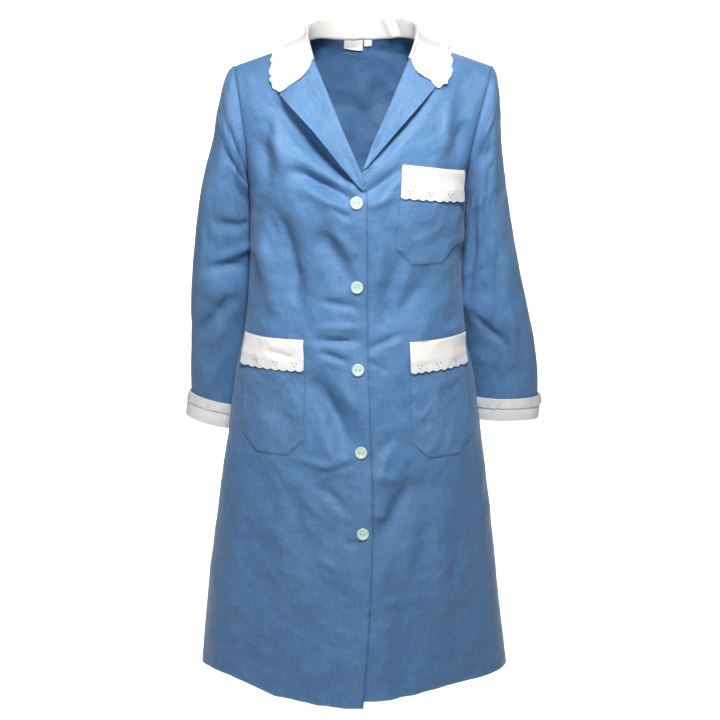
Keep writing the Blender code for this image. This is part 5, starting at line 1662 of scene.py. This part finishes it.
def collarLace(stations):
    sizes = collarSizes
    seamAcross, seamUp, edgeAcross, edgeUp, _ = stations
    edge = collarSurface(stations)[:, -1]
    run = np.concatenate([[0], np.cumsum(np.linalg.norm(np.diff(edge, axis=0), axis=1))])
    inset = sizes["laceInset"]
    fine = np.linspace(inset, run[-1] - inset, sizes["laceScallops"] * sizes["laceSteps"] + 1)

    def between(values):
        return np.interp(fine, run, values)

    edge = np.stack([between(edge[:, i]) for i in range(3)], axis=-1)
    fromAcross, fromUp = between(edgeAcross), between(edgeUp)
    wayAcross = fromAcross - between(seamAcross)
    wayUp = fromUp - between(seamUp)
    start = cloth(fromAcross, fromUp, lapAt(fromAcross, fromUp))
    reach = np.linalg.norm(start - cloth(fromAcross - wayAcross, fromUp - wayUp), axis=-1)
    # the frill runs straight out from the collar's edge, turning with it at the front corners
    tangent = unit(np.gradient(start, axis=0))
    out = unit(np.cross(tangent, figureNormal(fromAcross, fromUp)))
    away = start - cloth(fromAcross - wayAcross * 0.2, fromUp - wayUp * 0.2)
    out *= np.sign(np.sum(out * away, axis=-1))[:, None]
    tiny = 0.002
    byAcross = (figure(fromAcross + tiny, fromUp) - figure(fromAcross, fromUp)) / tiny
    byUp = (figure(fromAcross, fromUp + tiny) - figure(fromAcross, fromUp)) / tiny
    a, b, c = (np.sum(p * q, axis=-1) for p, q in ((byAcross, byAcross), (byAcross, byUp), (byUp, byUp)))
    d, e = np.sum(out * byAcross, axis=-1), np.sum(out * byUp, axis=-1)
    det = a * c - b * b
    squareAcross, squareUp = (c * d - b * e) / det, (a * e - b * d) / det
    seed, most, count = sizes["laceWobble"]
    chance = np.random.default_rng(seed)
    length = fine[-1] - fine[0]
    wobble = np.interp(fine, np.linspace(0, run[-1], count), chance.uniform(-most, most, count))
    phase = (fine - fine[0]) / length * sizes["laceWaves"] * 2 * np.pi + wobble
    scallop = np.abs(np.sin((fine - fine[0]) / length * sizes["laceScallops"] * np.pi))
    fromEnd = np.minimum(fine, run[-1] - fine)
    width = sizes["laceWidth"] - sizes["laceScallopDepth"] * (1 - scallop)
    width += sizes["laceSwell"] * np.cos(phase)
    endShare, endReach = sizes["laceEnds"]
    width *= softStep(endShare + fromEnd / endReach)
    shares = np.linspace(0, 1, sizes["laceRows"])
    mixing = sizes["laceMixing"]
    smallHeight, smallPace = sizes["laceSmallWave"]
    columns = []
    for share in shares:
        way = sizes["laceStart"] + width * share
        across = fromAcross + way * (squareAcross * (1 - mixing) + wayAcross / reach * mixing)
        up = fromUp + way * (squareUp * (1 - mixing) + wayUp / reach * mixing)
        up = np.where((fromUp <= 2) & (up > 2) & (np.abs(fromUp - 2) < 1e-6), 2.0, up)
        ripple = sizes["laceRipple"] * share * (1 + np.sin(phase))
        ripple = ripple + smallHeight * share * np.sin(phase * smallPace)
        drop = -sizes["laceDrop"] * share**2
        columns.append(edge + cloth(across, up, lapAt(across, up) + ripple + drop) - start)
    middle = np.stack(columns, axis=1)
    outer, inner = bothSides(middle, sizes["laceThick"])
    u = np.broadcast_to((fine - fine[0])[:, None] * sizes["laceFullness"], middle.shape[:2])
    v = width[:, None] * shares[None, :]
    uv = np.stack([u, v], axis=-1) * mm
    toEdge = width[:, None] * (1 - shares[None, :]) * mm
    piece = shell("collar_lace", outer, inner, frillCloth, uv=uv, edge=toEdge)
    dress(piece, "collar_lace")


print("pockets")

pocketSizes = {
    # inner top x, inner top z, outer top x, outer top z, inner foot x, outer foot x, foot z, corner
    "chest": (57.0, -176.0, 147.0, -187.0, 46.0, 140.0, -320.0, 26.0),
    "hip_left": (69.0, -436.0, 151.0, -433.0, 74.0, 170.0, -612.0, 26.0),
    "hip_right": (-85.0, -432.0, -174.0, -433.0, -85.0, -184.0, -606.0, 26.0),
}
pocketMake = {
    "ease": 2.4,
    "layGap": 0.9,
    "thick": 0.9,
    "bandGap": 0.5,
    "bandDepth": 29.0,
    "bandThick": 0.9,
    "laceDepth": 15.0,
    "laceThick": 0.45,
    "laceLift": 1.8,
    "columns": 56,
    "rows": 84,
    "scallops": 8,
    "scallopDepth": 2.6,
    "scallopSteps": 14,
    "mouthRows": 14,
    "bandRows": 22,
    "easeFade": 0.7,
    "outerEase": 0.4,
    "rimRipple": (0.16, 1.7, 2.0, 3.0),  # height, wavelength / 2 pi, distance from the side, reach
    "rimPress": (0.75, 2.2, 0.35, 7.0),  # pressed depth and reach, padding and reach
    "rimShade": (0.6, 0.9),
    "crumple": (100, 0.8, 90, 28),
    "crumpleReach": 18.0,
    "bandLift": 0.7,
    "bandRise": 0.6,
    "bandUneven": (120, 0.45, 80, 30),
    "bandTop": (0.9, 1.6),
    "wearReach": 2.0,
    "laceTuck": 1.0,
    "laceHang": (0.35, 0.45, 13.0),  # start, wave height, waves in radians
}


def pocketOutline(spec, drops, footRows, columns):
    innerX, innerZ, outerX, outerZ, innerFoot, outerFoot, footZ, corner = spec
    share = np.linspace(0, 1, columns + 1)
    topX = innerX + (outerX - innerX) * share
    topZ = innerZ + (outerZ - innerZ) * share
    fromSide = np.minimum(share, 1 - share) * abs(outerFoot - innerFoot)
    foot = footZ + np.clip(corner - fromSide, 0, None)
    rows = [topZ - drop for drop in drops]
    last = rows[-1]
    rows += [last + (foot - last) * part for part in np.linspace(0, 1, footRows + 1)[1:]]
    z = np.array(rows)
    footX = innerFoot + (outerFoot - innerFoot) * share
    return topX + (footX - topX) * (topZ - z) / (topZ - footZ), z


def pocketEase(spec, x, z):
    innerX, innerZ, outerX, _, _, _, footZ, _ = spec
    share = np.clip((x - innerX) / (outerX - innerX), 0, 1)
    down = np.clip((innerZ - z) / (innerZ - footZ), 0, 1)
    ease = pocketMake["ease"] * np.sin(np.pi * share) * (1 - down) ** pocketMake["easeFade"]
    return ease + pocketMake["outerEase"] * share**4


def onFront(spec, x, z, offset):
    across, up = locate(x, z, 2)
    side = 1 if spec[0] > 0 else -1
    return cloth(across, up, lappedLift(x, z, side) + pocketEase(spec, x, z) + offset)


def pocket(name, spec):
    make = pocketMake
    drops = np.linspace(0.0, make["bandDepth"] + make["laceDepth"], make["mouthRows"])
    x, z = pocketOutline(spec, drops, make["rows"], make["columns"])
    flat = np.stack([x, 0 * x, z], axis=-1)
    fromSides = np.minimum(rowDistance(flat, 0), rowDistance(flat, -1))
    fromFoot = np.abs(z - z[-1][None, :])
    fromRim = np.minimum(fromSides, fromFoot)
    height, wavelength, distance, reach = make["rimRipple"]
    ripple = height * np.sin(z / wavelength) * np.exp(-((fromSides - distance) / reach) ** 2)
    depth, reach, padding, padReach = make["rimPress"]
    settle = -depth * np.exp(-fromRim / reach) + padding * softStep(fromRim / padReach) + ripple
    crumple = unevenness(x, z, *reseeded(make["crumple"], len(name)))
    crumple = crumple * softStep(fromRim / make["crumpleReach"])
    level = make["layGap"] + settle + crumple
    over = onFront(spec, x, z, level + make["thick"])
    under = onFront(spec, x, z, level)
    strength, reach = make["rimShade"]
    body = shell(f"pocket_{name}", over, under, tunicCloth, seam=strength * np.exp(-fromRim / reach))
    dress(body, f"pocket_{name}")
    top = make["layGap"] + make["thick"] + make["bandGap"] + make["bandLift"]
    x, z = pocketOutline(spec, np.linspace(0, make["bandDepth"], make["bandRows"]), 0, make["columns"])
    z[0] += make["bandRise"]
    fromTop = np.abs(z - z[0][None, :])
    bandWaves = reseeded(make["bandUneven"], len(name))
    soft = unevenness(x, z, *bandWaves)
    depth, reach = make["bandTop"]
    roundTop = -depth * np.exp(-fromTop / reach)
    under = onFront(spec, x, z, top + soft + roundTop)
    over = onFront(spec, x, z, top + soft + roundTop + make["bandThick"])
    edge = np.minimum(fromTop, rowDistance(np.stack([x, 0 * x, z], axis=-1), 0))
    band = shell(f"band_{name}", over, under, trimCloth, wear=np.exp(-edge / make["wearReach"]))
    dress(band, f"band_{name}")
    count = make["scallops"] * make["scallopSteps"]
    laceTop, laceFoot = make["bandDepth"] - make["laceTuck"], make["bandDepth"] + make["laceDepth"]
    x, z = pocketOutline(spec, np.linspace(laceTop, laceFoot, make["mouthRows"]), 0, count)
    wave = np.abs(np.sin(np.linspace(0, make["scallops"] * np.pi, count + 1)))
    share = np.linspace(0, 1, len(z))[:, None]
    z = z - make["scallopDepth"] * wave[None, :] * share**2
    start, height, turns = make["laceHang"]
    hang = make["laceLift"] * share + height * np.sin(np.linspace(0, turns, count + 1))[None, :] * share
    level = top + (start + hang) + unevenness(x, z, *bandWaves) - start
    under = onFront(spec, x, z, level)
    over = onFront(spec, x, z, level + make["laceThick"])
    flat = np.stack([x, 0 * x, z], axis=-1)
    uv = gridUv(flat)
    uv[..., 0] += 0.001
    toEdge = np.abs(z - z[-1][None, :]) * mm
    lace = shell(f"lace_{name}", over, under, laceCloth, uv=uv, edge=toEdge)
    dress(lace, f"lace_{name}")


print("building cloth")

front("front_right", -1, dartedCloth)
front("front_left", 1, tunicCloth)
back()
for sideName, sideSign in (("right", -1), ("left", 1)):
    sleeve(sideName, sideSign)
    cuff(sideName, sideSign)
    lapel(sideName, sideSign)
collarLine = collar()
collarLace(collarLine)
for pocketName, pocketSpec in pocketSizes.items():
    pocket(pocketName, pocketSpec)

print("labels and buttons")

labelSizes = {
    # centre x, width, height, gap from the back's inside
    "neck_label": (-13.0, 29.0, 13.0, 1.8),
    "size_tag": (9.5, 12.0, 8.0, 1.4),
}
labelMake = {
    "rise": 2.5,
    "columns": 24,
    "rows": 14,
    "neckGap": 1.5,
    "fall": 0.0045,  # of up for each millimetre
    "start": 1.6,
    "hang": 0.8,
    "curl": 0.5,
    "thick": 0.5,
}
for labelName, (centreX, width, height, gap) in labelSizes.items():
    x = np.linspace(centreX - width / 2, centreX + width / 2, labelMake["columns"])
    topY = bodyForm["napeY"] * np.sqrt(1 - (x / bodyForm["neckHalf"]) ** 2)
    across, up = locate(x, topY + labelMake["neckGap"], 1, behind=True)
    rows = []
    for share in np.linspace(0, 1, labelMake["rows"]):
        hang = up + height * share * labelMake["fall"]
        curl = labelMake["curl"] * np.sin(np.linspace(0, np.pi, labelMake["columns"])) * share
        level = -labelMake["start"] - gap - labelMake["hang"] * min(1.0, share * 2) - curl
        rows.append(cloth(across, hang, level))
    middle = np.stack(rows) + np.array([0.0, 0.0, labelMake["rise"]])
    inward = figureNormal(across, up)[None, :, :]
    piece = shell(labelName, middle, middle - inward * labelMake["thick"], trimCloth)
    dress(piece, labelName)

buttonSizes = {
    "topZ": -228.0,
    "pitch": 123.3,
    "count": 5,
    "radius": 9.2,
    "thick": 3.2,
    "rim": 0.9,
    "hole": 1.05,
    "holeSpacing": 5.4,
    "holeTurns": 20,
    "turns": 64,
    "sharp": 35,  # degrees
    "seat": 1.0,
}


def buttonMesh():
    sizes = buttonSizes
    radius, thick, rim = sizes["radius"], sizes["thick"], sizes["rim"]
    profile = (
        (0.0, thick - rim),
        (radius * 0.5, thick - rim),
        (radius * 0.6, thick - rim * 0.92),
        (radius * 0.70, thick - rim * 0.35),
        (radius * 0.77, thick - 0.04),
        (radius * 0.83, thick),
        (radius * 0.90, thick - 0.12),
        (radius * 0.96, thick - 0.5),
        (radius, thick * 0.62),
        (radius, thick * 0.42),
        (radius * 0.96, thick * 0.2),
        (radius * 0.86, 0.05),
        (radius * 0.7, 0.0),
        (0, 0),
    )
    working = bmesh.new()
    points = [working.verts.new((r * mm, 0.0, z * mm)) for r, z in profile]
    for first, second in zip(points, points[1:]):
        working.edges.new((first, second))
    bmesh.ops.spin(
        working, geom=working.verts[:] + working.edges[:], axis=(0, 0, 1), cent=(0, 0, 0),
        steps=sizes["turns"], angle=2 * math.pi,
    )
    bmesh.ops.remove_doubles(working, verts=working.verts, dist=1e-6)
    bmesh.ops.recalc_face_normals(working, faces=working.faces)
    mesh = bpy.data.meshes.new("buttonBlank")
    working.to_mesh(mesh)
    working.free()
    blank = bpy.data.objects.new("buttonBlank", mesh)
    bpy.context.scene.collection.objects.link(blank)
    drills = []
    for sign in (-1, 1):
        bpy.ops.mesh.primitive_cylinder_add(
            vertices=sizes["holeTurns"], radius=sizes["hole"] * mm, depth=thick * 3 * mm,
            location=(sign * sizes["holeSpacing"] / 2 * mm, 0, thick / 2 * mm),
        )
        drill = bpy.context.active_object
        drills.append(drill)
        cut = blank.modifiers.new("hole", "BOOLEAN")
        cut.operation = "DIFFERENCE"
        cut.object = drill
    bpy.context.view_layer.update()
    made = bpy.data.meshes.new_from_object(blank.evaluated_get(bpy.context.evaluated_depsgraph_get()))
    for helper in drills + [blank]:
        bpy.data.objects.remove(helper)
    made.shade_smooth()
    made.set_sharp_from_angle(angle=math.radians(sizes["sharp"]))
    made.materials.clear()
    made.materials.append(mintButton)
    return made


def faceTurn(facing):
    out = Vector(facing).normalized()
    level = Vector((1, 0, 0))
    level = (level - out * level.dot(out)).normalized()
    side = out.cross(level)
    return Matrix((level, side, out)).transposed().to_4x4()


buttonBlank = buttonMesh()
buttonPlaces = []
for index in range(buttonSizes["count"]):
    z = buttonSizes["topZ"] - buttonSizes["pitch"] * index
    x = float(straight(frontSizes["centreFront"], 1, z))
    across, up = locate(np.array([x]), np.array([z]), 2)
    lift = float(lappedLift(np.array(x), np.array(z), -1))
    seat = cloth(across, up, lift + buttonSizes["seat"])[0] * mm
    place = Matrix.Translation(Vector(seat)) @ faceTurn(figureNormal(across, up)[0])
    mesh = buttonBlank.copy()
    mesh.transform(place)
    piece = bpy.data.objects.new(f"button_{index + 1}", mesh)
    bpy.context.scene.collection.objects.link(piece)
    dress(piece, f"button_{index + 1}")
    buttonPlaces.append(place)

print("sewing")

sewingSizes = {
    # pitch, length and thickness of a stitch
    "run": (2.7, 2.0, 0.42),
    "fine": (2.2, 1.6, 0.36),
    "satin": (0.55, 0.55, 1.0),
    "pocketInset": 2.0,
    "hemHeight": 14.0,
    "buttonholeHalf": 11.2,
    "buttonholeWide": 0.85,
    "buttonholeShift": 0.9,
}


def sewingTree():
    # beads of thread at even steps along a line
    tree = bpy.data.node_groups.new("sewing", "GeometryNodeTree")
    tree.interface.new_socket("Line", in_out="INPUT", socket_type="NodeSocketGeometry")
    tree.interface.new_socket("Pitch", in_out="INPUT", socket_type="NodeSocketFloat")
    tree.interface.new_socket("Bead", in_out="INPUT", socket_type="NodeSocketVector")
    tree.interface.new_socket("Thread", in_out="INPUT", socket_type="NodeSocketMaterial")
    tree.interface.new_socket("Geometry", in_out="OUTPUT", socket_type="NodeSocketGeometry")
    kinds = {
        "start": "NodeGroupInput", "steps": "GeometryNodeCurveToPoints", "bead": "GeometryNodeMeshUVSphere",
        "place": "GeometryNodeInstanceOnPoints", "whole": "GeometryNodeRealizeInstances",
        "paint": "GeometryNodeSetMaterial", "end": "NodeGroupOutput",
    }
    nodes = {key: tree.nodes.new(kind) for key, kind in kinds.items()}
    nodes["steps"].mode = "LENGTH"
    nodes["bead"].inputs["Segments"].default_value = 6
    nodes["bead"].inputs["Rings"].default_value = 4
    nodes["bead"].inputs["Radius"].default_value = 0.5
    for first, output, second, entry in (
        ("start", "Line", "steps", "Curve"), ("start", "Pitch", "steps", "Length"),
        ("steps", "Points", "place", "Points"), ("steps", "Rotation", "place", "Rotation"),
        ("bead", "Mesh", "place", "Instance"), ("start", "Bead", "place", "Scale"),
        ("place", "Instances", "whole", "Geometry"), ("whole", "Geometry", "paint", "Geometry"),
        ("start", "Thread", "paint", "Material"), ("paint", "Geometry", "end", "Geometry"),
    ):
        tree.links.new(nodes[first].outputs[output], nodes[second].inputs[entry])
    return tree


sewing = sewingTree()


def sewn(name, lines, kind, thread):
    pitch, length, thick = (value * mm for value in sewingSizes[kind])
    curve = bpy.data.curves.new(name, "CURVE")
    curve.dimensions = "3D"
    for line in lines:
        spline = curve.splines.new("POLY")
        spline.points.add(len(line) - 1)
        spline.points.foreach_set("co", np.concatenate([line, np.ones((len(line), 1))], axis=1).reshape(-1))
    guide = bpy.data.objects.new(f"{name}Line", curve)
    bpy.context.scene.collection.objects.link(guide)
    step = guide.modifiers.new("sewing", "NODES")
    step.node_group = sewing
    given = {"Pitch": pitch, "Bead": (thick, thick, length), "Thread": thread}
    for socket in sewing.interface.items_tree:
        if socket.in_out == "INPUT" and socket.name in given:
            step[socket.identifier] = given[socket.name]
    guide.update_tag()
    bpy.context.view_layer.update()
    mesh = bpy.data.meshes.new_from_object(guide.evaluated_get(bpy.context.evaluated_depsgraph_get()))
    bpy.data.objects.remove(guide)
    mesh.shade_smooth()
    piece = bpy.data.objects.new(name, mesh)
    bpy.context.scene.collection.objects.link(piece)
    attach(piece, "root")


def seated(piece, points, outward, lift=0.05):
    # points in millimetres, dropped onto a piece along their outward directions
    tree = BVHTree.FromPolygons(
        [v.co for v in piece.data.vertices], [p.vertices for p in piece.data.polygons]
    )
    seats = []
    for point, out in zip(points, outward):
        out = Vector(out)
        start = Vector(point) * mm + out * 0.02
        hit = tree.ray_cast(start, -out, 0.04)[0]
        if hit is not None:
            seats.append(hit + out * lift * mm)
    return np.array(seats)


def seatedOn(piece, across, up, lift=0.0):
    return seated(piece, cloth(across, up, lift), figureNormal(across, up))


for pocketName, pocketSpec in pocketSizes.items():
    body = clothPieces[f"pocket_{pocketName}"]
    x, z = pocketOutline(pocketSpec, np.linspace(0.0, 46.0, 14), 60, 60)
    inset = sewingSizes["pocketInset"]
    toward = np.sign(x[0, -1] - x[0, 0])
    leftX, leftZ = x[14:, 0] + toward * inset, z[14:, 0]
    rightX, rightZ = x[14:, -1] - toward * inset, z[14:, -1]
    footX = x[-1, 1:-1] + toward * inset * np.linspace(1, -1, x.shape[1] - 2)
    footZ = z[-1, 1:-1] + inset
    pathX = np.concatenate([leftX[:-1], footX, rightX[:-1][::-1]])
    pathZ = np.concatenate([leftZ[:-1], footZ, rightZ[:-1][::-1]])
    across, up = locate(pathX, pathZ, 2)
    line = seatedOn(body, across, up, 4.0)
    sewn(f"stitches_{pocketName}", [line], "run", blueThread)
    band = clothPieces[f"band_{pocketName}"]
    x, z = pocketOutline(pocketSpec, np.array([pocketMake["bandDepth"] - 2.2]), 0, 60)
    across, up = locate(x[0, 1:-1], z[0, 1:-1], 2)
    line = seatedOn(band, across, up, 6.0)
    sewn(f"band_stitches_{pocketName}", [line], "fine", whiteThread)

hemUp = sewingSizes["hemHeight"] / (bodyForm["armpitZ"] - bodyForm["hemZ"])
hemLines = []
for side, name in ((-1, "front_right"), (1, "front_left")):
    across, up = frontGrid(side)
    line = seatedOn(clothPieces[name], across[0, 1:-1], up[0, 1:-1] + hemUp)
    hemLines.append(line)
across = np.linspace(-0.985, 0.985, 160)
hemLines.append(seatedOn(clothPieces["back"], across, np.full(across.shape, 4 - hemUp)))
sewn("hem_stitches", hemLines, "run", blueThread)

seamAcross, seamUp, edgeAcross, edgeUp, _ = collarLine
collarInset = 0.93
across = seamAcross + (edgeAcross - seamAcross) * collarInset
up = seamUp + (edgeUp - seamUp) * collarInset
line = seatedOn(clothPieces["collar"], across[1:-1], up[1:-1], 6.0)
sewn("collar_stitches", [line], "fine", whiteThread)

holeLines = []
for place in buttonPlaces:
    turn = np.linspace(0, 2 * np.pi, 49)
    along = sewingSizes["buttonholeShift"] + sewingSizes["buttonholeHalf"] * np.cos(turn)
    aside = sewingSizes["buttonholeWide"] * np.sign(np.sin(turn)) * np.abs(np.sin(turn)) ** 0.4
    ring = np.array([place @ (Vector((a, b, -1.0)) * mm) for a, b in zip(along, aside)])
    out = np.repeat(np.array([place.to_3x3() @ Vector((0, 0, 1))]), len(ring), axis=0)
    line = seated(clothPieces["front_right"], ring / mm, out, 0.1)
    if len(line) > 8:
        holeLines.append(line)
sewn("buttonholes", holeLines, "satin", blueThread)

stageSizes = {
    "floorZ": -1.45,
    "floorHalf": 7.0,
    "sweepStart": 0.55,
    "sweepHalf": 2.9,
    "wallY": 4.6,
    "wallTop": 1.6,
    "bend": 0.8,
}


def stagePiece(name, rows, shine):
    # a strip of the studio: rows are (half width, y, z)
    points = [(side * half, y, z) for half, y, z in rows for side in (-1, 1)]
    faces = [(2 * i, 2 * i + 1, 2 * i + 3, 2 * i + 2) for i in range(len(rows) - 1)]
    mesh = bpy.data.meshes.new(name)
    mesh.from_pydata(points, [], faces)
    material, shader, _ = newMaterial(name)
    shader.inputs["Base Color"].default_value = (0.86, 0.86, 0.86, 1.0)
    shader.inputs["Roughness"].default_value = 0.9
    shader.inputs["Emission Color"].default_value = (1.0, 1.0, 1.0, 1.0)
    shader.inputs["Emission Strength"].default_value = shine
    mesh.materials.append(material)
    piece = bpy.data.objects.new(name, mesh)
    bpy.context.scene.collection.objects.link(piece)


stageHalf, stageZ = stageSizes["floorHalf"], stageSizes["floorZ"]
stagePiece("paleFloor", ((stageHalf, -stageHalf, stageZ), (stageHalf, stageHalf, stageZ)), 0.0)
sweep = [(stageSizes["sweepHalf"], stageSizes["sweepStart"], stageZ + 0.002)]
for stageTurn in np.linspace(0, math.pi / 2, 9):
    sweep.append((
        stageSizes["sweepHalf"],
        stageSizes["wallY"] - stageSizes["bend"] * (1 - math.sin(stageTurn)),
        stageZ + 0.002 + stageSizes["bend"] * (1 - math.cos(stageTurn)),
    ))
sweep.append((stageSizes["sweepHalf"], stageSizes["wallY"], stageSizes["wallTop"]))
stagePiece("whiteSweep", sweep, 1.0)
